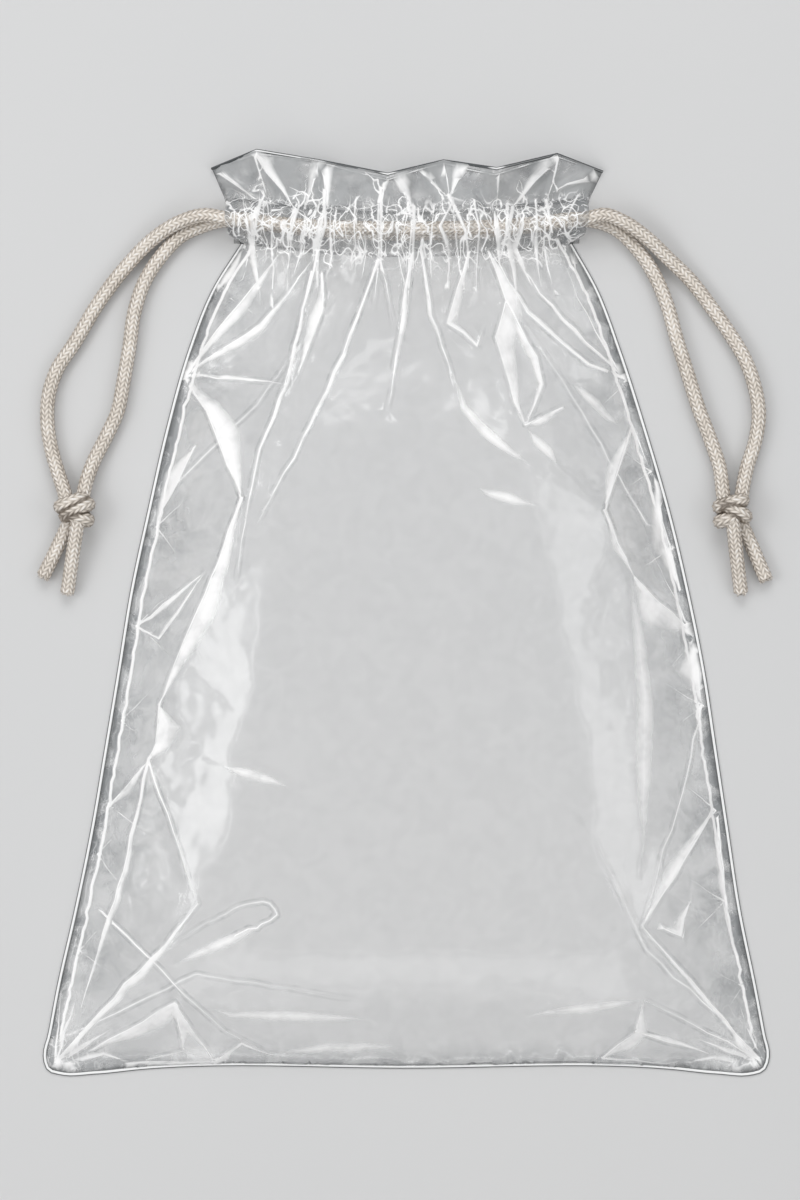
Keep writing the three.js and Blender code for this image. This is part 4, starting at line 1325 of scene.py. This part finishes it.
# %% Shares of haze, painted shade, mist and bunching
# The weld's own grey, and painted shade beside the welds, at the darts, in the ruffle and along the fold
WELD_HAZE, CLEAR_HAZE, SIDE_SHADE, SIDE_FADE = 0.26, 0.01, 0.05, 14
DART_SHADE, DART_FADE = 0.30, 9.0
NECK_HAZE, NECK_HAZE_SPAN = 0.05, (-26, -8)
RUFFLE_SHADE, RUFFLE_SPAN = 0.36, (5, 11)
FOLD_SHADE, FOLD_FADE = 0.22, 3.5
SIDE_MIST, SIDE_MIST_FADE = 0.15, 16
FOLD_MIST, FOLD_MIST_FADE = 0.08, 12
NECK_MIST, NECK_MIST_SPAN = 0.10, (-40, -12)
RUFFLE_MIST = 0.10
BUNCH_SPAN = (-15, -6)
CORNERS = [(-117, -149), (117, -149)]
CORNER_BUNCH, CORNER_FADE = 0.6, 9
DART_BUNCH, DART_BUNCH_FADE = 0.25, 4


def veil_at(x, y):
    """How grey the film is: the grey of the welds and under the gathers, and painted shade beside the welds, at the
    darts, in the ruffle and along the bottom fold.
    """
    inward, above = seam_distance(x, y), y - channel_middle(x)
    veil = np.where(inward < WELD, WELD_HAZE, CLEAR_HAZE + SIDE_SHADE * fading(inward - WELD, SIDE_FADE))
    for dart_x, dart_y in LEFT_DARTS + RIGHT_DARTS:
        veil = np.maximum(veil, DART_SHADE * fading(np.hypot(x - dart_x, y - dart_y), DART_FADE))
    veil = np.maximum(veil, NECK_HAZE * ease_both(above, *NECK_HAZE_SPAN))
    veil = np.maximum(veil, RUFFLE_SHADE * ease_both(above, *RUFFLE_SPAN))
    return np.maximum(veil, FOLD_SHADE * fading(y - BOTTOM, FOLD_FADE))


def mist_at(x, y):
    """How much milk-white is painted on the film: beside the welds, above the fold, under the gathers and in the
    ruffle.
    """
    inward, above = seam_distance(x, y) - WELD, y - channel_middle(x)
    side = SIDE_MIST * fading(inward, SIDE_MIST_FADE) * (inward > 0)
    foot = FOLD_MIST * fading(y - BOTTOM, FOLD_MIST_FADE)
    neck = NECK_MIST * ease_both(above, *NECK_MIST_SPAN)
    body = np.maximum(np.maximum(side, foot), neck)
    return np.where(above < -CHANNEL_HALF, body, RUFFLE_MIST * (above > CHANNEL_HALF))


def bunch_at(x, y):
    """How densely the film is bunched, which sets its painted curls of highlight and shade: all over the channel, at
    the corners and close to the darts.
    """
    above = y - channel_middle(x)
    bunch = ease_both(above, *BUNCH_SPAN) * (1 - ease_both(above, *RUFFLE_SPAN))
    pinches = [(*spot, CORNER_BUNCH, CORNER_FADE) for spot in CORNERS]
    pinches += [(*spot, DART_BUNCH, DART_BUNCH_FADE) for spot in LEFT_DARTS + RIGHT_DARTS]
    for spot_x, spot_y, most, reach in pinches:
        bunch = np.maximum(bunch, most * fading(np.hypot(x - spot_x, y - spot_y), reach))
    return bunch


print("haze in the middle:", veil_at(np.zeros(1), np.zeros(1)).round(3))

# %% Halve and round the triangles
REFINE_PASSES = 3
SMOOTH_PASSES, LEAST_GAP = 2, 0.1


def set_levels(bm, levels):
    """Sets the height of each vertex."""
    for vertex, level in zip(bm.verts, levels):
        vertex.co.z = level


def refine(bm, coarse):
    """Halves the long edges a few times."""
    for _ in range(REFINE_PASSES):
        edges = [edge for edge in bm.edges if edge.calc_length() > coarse]
        bmesh.ops.subdivide_edges(bm, edges=edges, cuts=1)
        bmesh.ops.triangulate(bm, faces=[face for face in bm.faces if len(face.verts) > 3])


def soften(bm):
    """Rounds the ridges: each height goes halfway to its neighbours', and a near neighbour counts more."""
    bm.verts.index_update()
    ends = np.array([[vertex.index for vertex in edge.verts] for edge in bm.edges])
    weight = 1 / np.array([edge.calc_length() + LEAST_GAP for edge in bm.edges])
    level = np.array([vertex.co.z for vertex in bm.verts])
    total = sum(np.bincount(end, weight, len(level)) for end in ends.T)
    for _ in range(SMOOTH_PASSES):
        pull = sum(np.bincount(end, weight * level[far], len(level)) for end, far in (ends.T, ends.T[::-1]))
        level = (level + pull / total) / 2
    set_levels(bm, level)


print("passes:", REFINE_PASSES, "of halving,", SMOOTH_PASSES, "of smoothing")

# %% Welded outline
MOUTH_FOOT, MOUTH_HALF, MOUTH_SLACK = 142, 64.5, 0.4
CHANNEL_MOUTH, CHANNEL_MOUTH_HALF = (124.4, 136.8), 54


def is_open(vertex):
    """Whether an outline vertex is at the mouth or at a channel's end, where the panels part."""
    x, y, _ = vertex.co
    at_mouth = y > MOUTH_FOOT and y > top_at(x) - MOUTH_SLACK and abs(x) < MOUTH_HALF
    at_channel = CHANNEL_MOUTH[0] < y < CHANNEL_MOUTH[1] and abs(x) > CHANNEL_MOUTH_HALF
    return at_mouth or at_channel


def flatten_welds(bm):
    """Brings the welded part of the outline to the level where the panels meet."""
    for vertex in bm.verts:
        if vertex.is_boundary and not is_open(vertex):
            vertex.co.z = FILM_LEVEL


rim_vertices = [vertex for vertex in front.verts if vertex.is_boundary]
print("open:", sum(map(is_open, rim_vertices)), "of", len(rim_vertices), "outline vertices")

# %% Crumple and lift the front panel
CRUMPLE_PITCH = 4.0
MIDDLE_CRUMPLE, SIDE_CRUMPLE, NECK_CRUMPLE = 0.05, 0.5, 0.8
NECK_START, NECK_FULL, NECK_FADE = 114, 121, 3
CALM_FOOT = 30
CALM_START, CALM_WIDTH = WELD * 0.8, 4
COARSE = 4.0


def crumple_size(x, y):
    """Size of the random crumple: small in the middle, larger at the welds and most over the cords."""
    above = y - channel_middle(x)
    past = ease_both(above, CHANNEL_HALF, CHANNEL_HALF + NECK_FADE)
    neck = ease_both(y, NECK_START, NECK_FULL) * (1 - past)
    edge = fading(seam_distance(x, y) - WELD, SIDE_FADE) * (y < NECK_FOOT) * (y > BOTTOM + CALM_FOOT)
    return MIDDLE_CRUMPLE + SIDE_CRUMPLE * edge * (1 - neck) + NECK_CRUMPLE * neck


def spots_of(bm):
    """Places of all vertices in the panel."""
    return np.array([vertex.co[:2] for vertex in bm.verts])


def lift_panel(bm, creases, height, crumple, coarse):
    """Raises a flat panel to its creased and crumpled form, in millimetres, and marks its film."""
    spots = spots_of(bm)
    wall = crease_marks(spots, creases)[0]
    waves = np.array([noise.noise(Vector((*spot, 0)) / CRUMPLE_PITCH) for spot in spots])
    rough = 2 * waves * crumple * crumple_size(*spots.T)
    rough = np.where(spots[:, 1] > NECK_FOOT, np.abs(rough), rough)
    inward = np.minimum(seam_distance(*spots.T), spots[:, 1] - BOTTOM)
    level = height(*spots.T) + (wall + rough) * np.clip((inward - CALM_START) / CALM_WIDTH, 0, 1)
    set_levels(bm, np.maximum(level, FILM_LEVEL))
    flatten_welds(bm)
    refine(bm, coarse)
    soften(bm)
    flatten_welds(bm)
    spots = spots_of(bm)
    _, whites, shades, sheens = crease_marks(spots, creases)
    # Crease whiteness is partly painted highlight; sheen holds painted sheen and milk-white; veil holds grey with
    # painted shade; bunch sets the painted curls.
    marks = {
        "crease": whites, "sheen": np.maximum(sheens, crumple * mist_at(*spots.T)),
        "veil": np.maximum(shades, veil_at(*spots.T)), "bunch": crumple * bunch_at(*spots.T),
    }
    for name, values in marks.items():
        layer = bm.verts.layers.float[name]
        for vertex, value in zip(bm.verts, values):
            vertex[layer] = value


lift_panel(front, front_creases, front_height, 1.0, COARSE)
print("front panel:", len(front.faces), "triangles, top at", round(max(v.co.z for v in front.verts), 1), "mm")

# %% Back panel
BACK_COARSE, BACK_CRUMPLE = 9.0, 0.15
BACK_GAP, BACK_NECK_GAP = 14, 6
back_creases = settle([
    (HAIRLINE, [(-112, -140), (-70, -120), (-20, -128)], 0),
    (HAIRLINE, [(112, -142), (80, -112), (60, -70)], 0),
    (HAIRLINE, [(-80, 40), (-50, 70), (-20, 112)], 0),
    (HAIRLINE, [(80, 30), (52, 78), (30, 110)], 0),
])
back = film_panel(
    list(edge_lines(back_creases)),
    [
        fill_spots(BACK_GAP, lambda x, y: y < NECK_FOOT),
        fill_spots(BACK_NECK_GAP, lambda x, y: y >= NECK_FOOT),
    ],
)
lift_panel(back, back_creases, back_height, BACK_CRUMPLE, BACK_COARSE)
print("back panel:", len(back.faces), "triangles")

# %% Inner walls of the channels
HEM_COLUMNS, HEM_ROWS = 72, 8
HEM_REACH, HEM_GAP, HEM_CRUMPLE = 57.5, 0.2, 0.25
HEM_HAZE = 0.05


def channel_hem(lift):
    """The strip of film that closes a channel on the inside of the bag."""
    bm = new_panel()
    veil_layer = bm.verts.layers.float["veil"]
    bmesh.ops.create_grid(bm, x_segments=HEM_COLUMNS, y_segments=HEM_ROWS, size=1.0)
    for vertex in bm.verts:
        x = np.array(vertex.co.x * HEM_REACH)
        y = channel_middle(x) + vertex.co.y * CHANNEL_HALF
        bulge = TUNNEL * channel_lens(x, y)
        level = bulge + lift * channel_arch(x) * (MOUTH_GAP + TUNNEL - bulge)
        vertex.co = (x, y, FILM_LEVEL + HEM_GAP + level + abs(chance.normal(0, HEM_CRUMPLE)))
        vertex[veil_layer] = HEM_HAZE
    return bm


hems = [channel_hem(0), channel_hem(1)]
print("hems:", sum(len(hem.faces) for hem in hems), "faces")

# %% [markdown]
# ## Clear film
# Polypropylene film is as clear as glass and has a glossy skin. A ray that meets it mostly goes
# straight through, and a few hundredths of the light are mirrored, more where the film is seen
# edge on. So the shader mixes Transparent and Glossy by the angle. Seen edge on, the film also
# swallows light, which draws its folds and rims as thin grey lines. The four attributes of the
# mesh lay over that white creases that are partly painted highlight, painted sheen and milk-white,
# grey haze with painted shade, and painted curls of highlight and shade. Film has two skins. To
# save time, the first one stops what both would, and the second is bare.

# %% Clear skin
WAVE_SIZE, DENT_DEPTH = 10, 0.8
LEAST_MIRROR, GLANCE_MIRROR, GLANCE_POWER = 0.06, 0.72, 4.0


def clear_skin(tree, place):
    """Mirrors a little from straight above and much at a glance, and lets the rest through."""
    facing = add_node(tree, "LayerWeight", {"Blend": 0.5})
    glance = add_node(tree, "Math", {0: facing.outputs["Facing"], 1: GLANCE_POWER}, operation="POWER")
    mirror = add_node(tree, "Math", {
        0: glance, 1: GLANCE_MIRROR, 2: LEAST_MIRROR}, operation="MULTIPLY_ADD")
    depth = add_node(tree, "ValToRGB", {"Fac": facing.outputs["Facing"]})
    depth.color_ramp.elements[0].position = 0.62
    depth.color_ramp.elements[0].color = paint("#FFFFFF")
    depth.color_ramp.elements[1].color = paint("#848788")
    through = add_node(tree, "BsdfTransparent", {"Color": depth})
    waves = add_node(tree, "TexNoise", {
        "Vector": place.outputs["Object"], "Scale": 1 / (WAVE_SIZE * MM), "Detail": 1.0})
    dents = add_node(tree, "Bump", {"Height": waves, "Strength": 0.5, "Distance": DENT_DEPTH * MM})
    shine = add_node(tree, "BsdfGlossy", {"Color": paint("#FFFFFF"), "Roughness": 0.14, "Normal": dents})
    return add_node(tree, "MixShader", {0: mirror, 1: through, 2: shine})


print("waves:", WAVE_SIZE, "mm")

# %% Painted curls of bunched film
CURL_SIZE, CURL_SQUEEZE, CURL_WIDTH = 5.5, (1.0, 0.55, 0.4), 0.03
WRINKLE_SIZE, WRINKLE_WIDTH = 4.0, 0.022


def ribbon(tree, wave, width):
    """A thin painted highlight where a slow noise crosses its middle."""
    offset = add_node(tree, "Math", {0: wave, 1: 0.5}, operation="SUBTRACT")
    away = add_node(tree, "Math", {0: offset}, operation="ABSOLUTE")
    return add_node(tree, "MapRange", {"Value": away, "From Max": width, "To Min": 0.85, "To Max": 0.0})


def curled_film(tree, place):
    """Painted curling ribbons of highlight, and painted shade in the gaps beside them."""
    upright = add_node(tree, "VectorMath", {
        0: place.outputs["Object"], 1: CURL_SQUEEZE}, operation="MULTIPLY")
    curls = add_node(tree, "TexNoise", {
        "Vector": upright, "Scale": 1 / (CURL_SIZE * MM),
        "Detail": 1.0, "Distortion": 0.6})
    wrinkles = add_node(tree, "TexNoise", {
        "Vector": place.outputs["Object"], "Scale": 1 / (WRINKLE_SIZE * MM),
        "Detail": 0.0, "Distortion": 1.0})
    glint = add_node(tree, "Math", {
        0: ribbon(tree, curls, CURL_WIDTH), 1: ribbon(tree, wrinkles, WRINKLE_WIDTH)}, operation="MAXIMUM")
    # Painted shade in the gaps beside the curls.
    gap = add_node(tree, "MapRange", {"Value": curls, "From Min": 0.46, "From Max": 0.36, "To Max": 0.08})
    return glint, gap


print("curls:", CURL_SIZE, "mm, wrinkles:", WRINKLE_SIZE, "mm")

# %% Haze, whiteness and painted light
CLOUD_SIZE, SILK_SIZE = 9, 9


def both_skins(tree, share):
    """What the two skins of a film stop together, from the share that one of them stops."""
    rest = add_node(tree, "Math", {0: 2.0, 1: share}, operation="SUBTRACT")
    return add_node(tree, "Math", {0: share, 1: rest}, operation="MULTIPLY")


def grey_share(tree, place, bunch, gap):
    """How much of the film is grey: the patchy grey of the welds with painted shade, and painted shade in the gaps of
    the curls.
    """
    veil = add_node(tree, "Attribute", attribute_name="veil")
    cloud = add_node(tree, "TexNoise", {
        "Vector": place.outputs["Object"], "Scale": 1 / (CLOUD_SIZE * MM), "Detail": 2.0, "Distortion": 0.8})
    patchy = add_node(tree, "MapRange", {
        "Value": cloud, "From Min": 0.42, "From Max": 0.58, "To Min": 0.35, "To Max": 1.5})
    patchy_grey_and_painted_shade = add_node(tree, "Math", {0: veil.outputs["Fac"], 1: patchy}, operation="MULTIPLY")
    grey = add_node(tree, "Math", {
        0: bunch.outputs["Fac"], 1: gap, 2: patchy_grey_and_painted_shade}, operation="MULTIPLY_ADD", use_clamp=True)
    return both_skins(tree, grey)


def white_share(tree, place, bunch, glint):
    """How much of the film is white: creases that are partly painted highlight, uneven painted sheen and milk-white,
    and the painted highlights of the curls.
    """
    crease = add_node(tree, "Attribute", attribute_name="crease")
    line = add_node(tree, "MapRange", {"Value": crease.outputs["Fac"], "From Min": 0.08, "From Max": 0.70})
    sheen = add_node(tree, "Attribute", attribute_name="sheen")
    silk = add_node(tree, "TexNoise", {
        "Vector": place.outputs["Object"], "Scale": 1 / (SILK_SIZE * MM), "Detail": 2.0})
    uneven = add_node(tree, "MapRange", {
        "Value": silk, "From Min": 0.36, "From Max": 0.58, "To Min": 0.45, "To Max": 1.0})
    gleam = add_node(tree, "Math", {0: sheen.outputs["Fac"], 1: uneven}, operation="MULTIPLY")
    lit = add_node(tree, "Math", {0: line, 1: gleam}, operation="MAXIMUM")
    white = add_node(tree, "Math", {
        0: bunch.outputs["Fac"], 1: glint, 2: lit}, operation="MULTIPLY_ADD", use_clamp=True)
    return both_skins(tree, white)


print("clouds:", CLOUD_SIZE, "mm, silk:", SILK_SIZE, "mm")

# %% Film material
MOST_LAYERS = 32


def film_material(name):
    """Cast polypropylene film: clear, mirror bright, white where creased and painted with highlights, sheen and shade,
    grey where welded.
    """
    material, tree = start_material(name)
    place = add_node(tree, "TexCoord")
    bunch = add_node(tree, "Attribute", attribute_name="bunch")
    glint, gap = curled_film(tree, place)
    # Grey of the welds, with painted shade.
    grey_haze_and_painted_shade = add_node(tree, "BsdfDiffuse", {"Color": paint("#8F9294")})
    skin_with_grey_and_painted_shade = add_node(tree, "MixShader", {
        0: grey_share(tree, place, bunch, gap), 1: clear_skin(tree, place), 2: grey_haze_and_painted_shade})
    # White of the creases, with painted highlights and sheen.
    white_and_painted_highlight = add_node(tree, "BsdfDiffuse", {"Color": paint("#FFFFFF")})
    film = add_node(tree, "MixShader", {0: white_share(tree, place, bunch, glint), 1: skin_with_grey_and_painted_shade, 2: white_and_painted_highlight})
    ray = add_node(tree, "LightPath")
    shadow = add_node(tree, "BsdfTransparent", {"Color": paint("#F9F9F9")})
    both = add_node(tree, "MixShader", {0: ray.outputs["Is Shadow Ray"], 1: film, 2: shadow})
    add_node(tree, "OutputMaterial", {"Surface": both})
    return material


clear_film = film_material("clear polypropylene film")
inner_skin, tree = start_material("inner skin of the film")
bare = add_node(tree, "BsdfTransparent", {"Color": paint("#FFFFFF")})
add_node(tree, "OutputMaterial", {"Surface": bare})
bpy.context.scene.cycles.transparent_max_bounces = MOST_LAYERS
print("materials:", clear_film.name, "and", inner_skin.name)

# %% Join the panels and give the film its thickness
FILM_THICKNESS, WELD_MERGE = 0.12, 0.02


def join_panels(panels):
    """One mesh of all panels, in metres, with the welded outlines merged."""
    whole = bmesh.new()
    for panel in panels:
        mesh = bpy.data.meshes.new("panel")
        bmesh.ops.scale(panel, vec=(MM, MM, MM), verts=panel.verts[:])
        panel.to_mesh(mesh)
        panel.free()
        whole.from_mesh(mesh)
        bpy.data.meshes.remove(mesh)
    bmesh.ops.remove_doubles(whole, verts=whole.verts[:], dist=WELD_MERGE * MM)
    return whole


film = finish_piece("film_sheet", join_panels([front, back, *hems]), clear_film)
wall = film.modifiers.new("film thickness", "SOLIDIFY")
wall.thickness = FILM_THICKNESS * MM
wall.offset = 0
film.data.materials.append(inner_skin)
wall.material_offset = 1
print("film:", FILM_THICKNESS, "mm thick")

# %% [markdown]
# ## Rims
# Where the weld was cut hot, the two films melted into a fine round bead that runs all the way
# round the seams and the bottom. The ruffle's cut edge is rolled just as fine. A bead bends the
# light like a glass rod: white along its middle and dark along both sides. A ramp over the angle
# of view gives that without tracing a single bent ray.

# %% Rim material
def rim_material(name):
    """Melted film, with the light that a glass rod bends painted on: a bright core between two dark lines."""
    material, tree = start_material(name)
    facing = add_node(tree, "LayerWeight", {"Blend": 0.5})
    shade = add_node(tree, "ValToRGB", {"Fac": facing.outputs["Facing"]})
    shade.color_ramp.elements[0].position = 0.05
    shade.color_ramp.elements[0].color = paint("#F6F7F7")
    shade.color_ramp.elements[1].position = 0.2
    shade.color_ramp.elements[1].color = paint("#4E5153")
    melt = add_node(tree, "BsdfPrincipled", {"Base Color": shade, "Roughness": 0.25})
    add_node(tree, "OutputMaterial", {"Surface": melt})
    return material


melted_rim = rim_material("melted film rim")
print("material:", melted_rim.name)

# %% Beads along the rims
BEAD, RIM = 0.64, 0.50
BEAD_FLAT, BEAD_STEP, BEAD_ROUND = 0.55, 2.0, 3


def bead_tube(name, route, radius, flat=1.0):
    """A thin tube along a route in millimetres: a bevelled curve, kept as a mesh and pressed flat."""
    curve = bpy.data.curves.new(name, "CURVE")
    curve.dimensions = "3D"
    curve.bevel_depth, curve.bevel_resolution = radius * MM, BEAD_ROUND
    curve.use_fill_caps = True
    spline = curve.splines.new("POLY")
    spline.points.add(len(route) - 1)
    spline.points.foreach_set("co", np.c_[np.array(route) * MM, np.ones(len(route))].ravel())
    holder = bpy.data.objects.new(name, curve)
    bpy.context.scene.collection.objects.link(holder)
    mesh = bpy.data.meshes.new_from_object(holder.evaluated_get(bpy.context.evaluated_depsgraph_get()))
    bpy.data.objects.remove(holder)
    bm = bmesh.new()
    bm.from_mesh(mesh)
    bmesh.ops.scale(bm, vec=(1, 1, flat), verts=bm.verts[:])
    return finish_piece(name, bm, melted_rim)


seam_run = np.concatenate([outline_runs[5][:-1], outline_runs[0][:-1], outline_runs[1]])
seam_run = smooth_route(seam_run, BEAD_STEP)
rims = [bead_tube("weld_bead", np.c_[seam_run, np.full(len(seam_run), BEAD)], BEAD, BEAD_FLAT)]
edge_run = even_line(TOP_EDGE, EDGE_STEP)
for name, edge in (("front_rim", FRONT_RUFFLE), ("back_rim", BACK_RUFFLE)):
    level = FILM_LEVEL + ruffle_level(edge, edge_run[:, 0])
    rims.append(bead_tube(name, np.c_[edge_run, level], RIM))

# %% [markdown]
# ## What each piece stands for
# Each piece replaces the plain solid of the same part. The cords say how long and thick they
# are, and the film says what sheet it was cut from: two panels and two turned-over channels.

# %% Declarations
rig.replaces(film, "bag_film")
for piece in (film, *rims):
    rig.slot(piece, "film")
for name, piece in {**cords, **tails, **knots}.items():
    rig.replaces(piece, name)
    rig.slot(piece, "cord")

for name, route, pieces in (
    ("front_cord", front_route, [*knots.values(), tails["left_front_tail"], tails["right_front_tail"]]),
    ("back_cord", back_route, [tails["left_back_tail"], tails["right_back_tail"]]),
):
    path = [tuple(spot * MM) for spot in route]
    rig.cord(
        cords[name], exit=path[0], length=along_line(route)[-1] * MM, diameter=CORD_DIAMETER * MM,
        far_end="knot", stiffness="limp", lay="loose", path=path, with_pieces=pieces,
    )
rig.sheet(film, flat=(0.242, 0.668), held="gathered", rests_on=list(cords.values()), with_pieces=rims)
print("declared:", len(cords), "cords and one sheet")

# %% Write the sizes and finish
with open("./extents.json", "w") as sizes:
    json.dump({"solids": [list(c) for c in solid_box], "pieces": [list(c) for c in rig.bounds()]}, sizes)
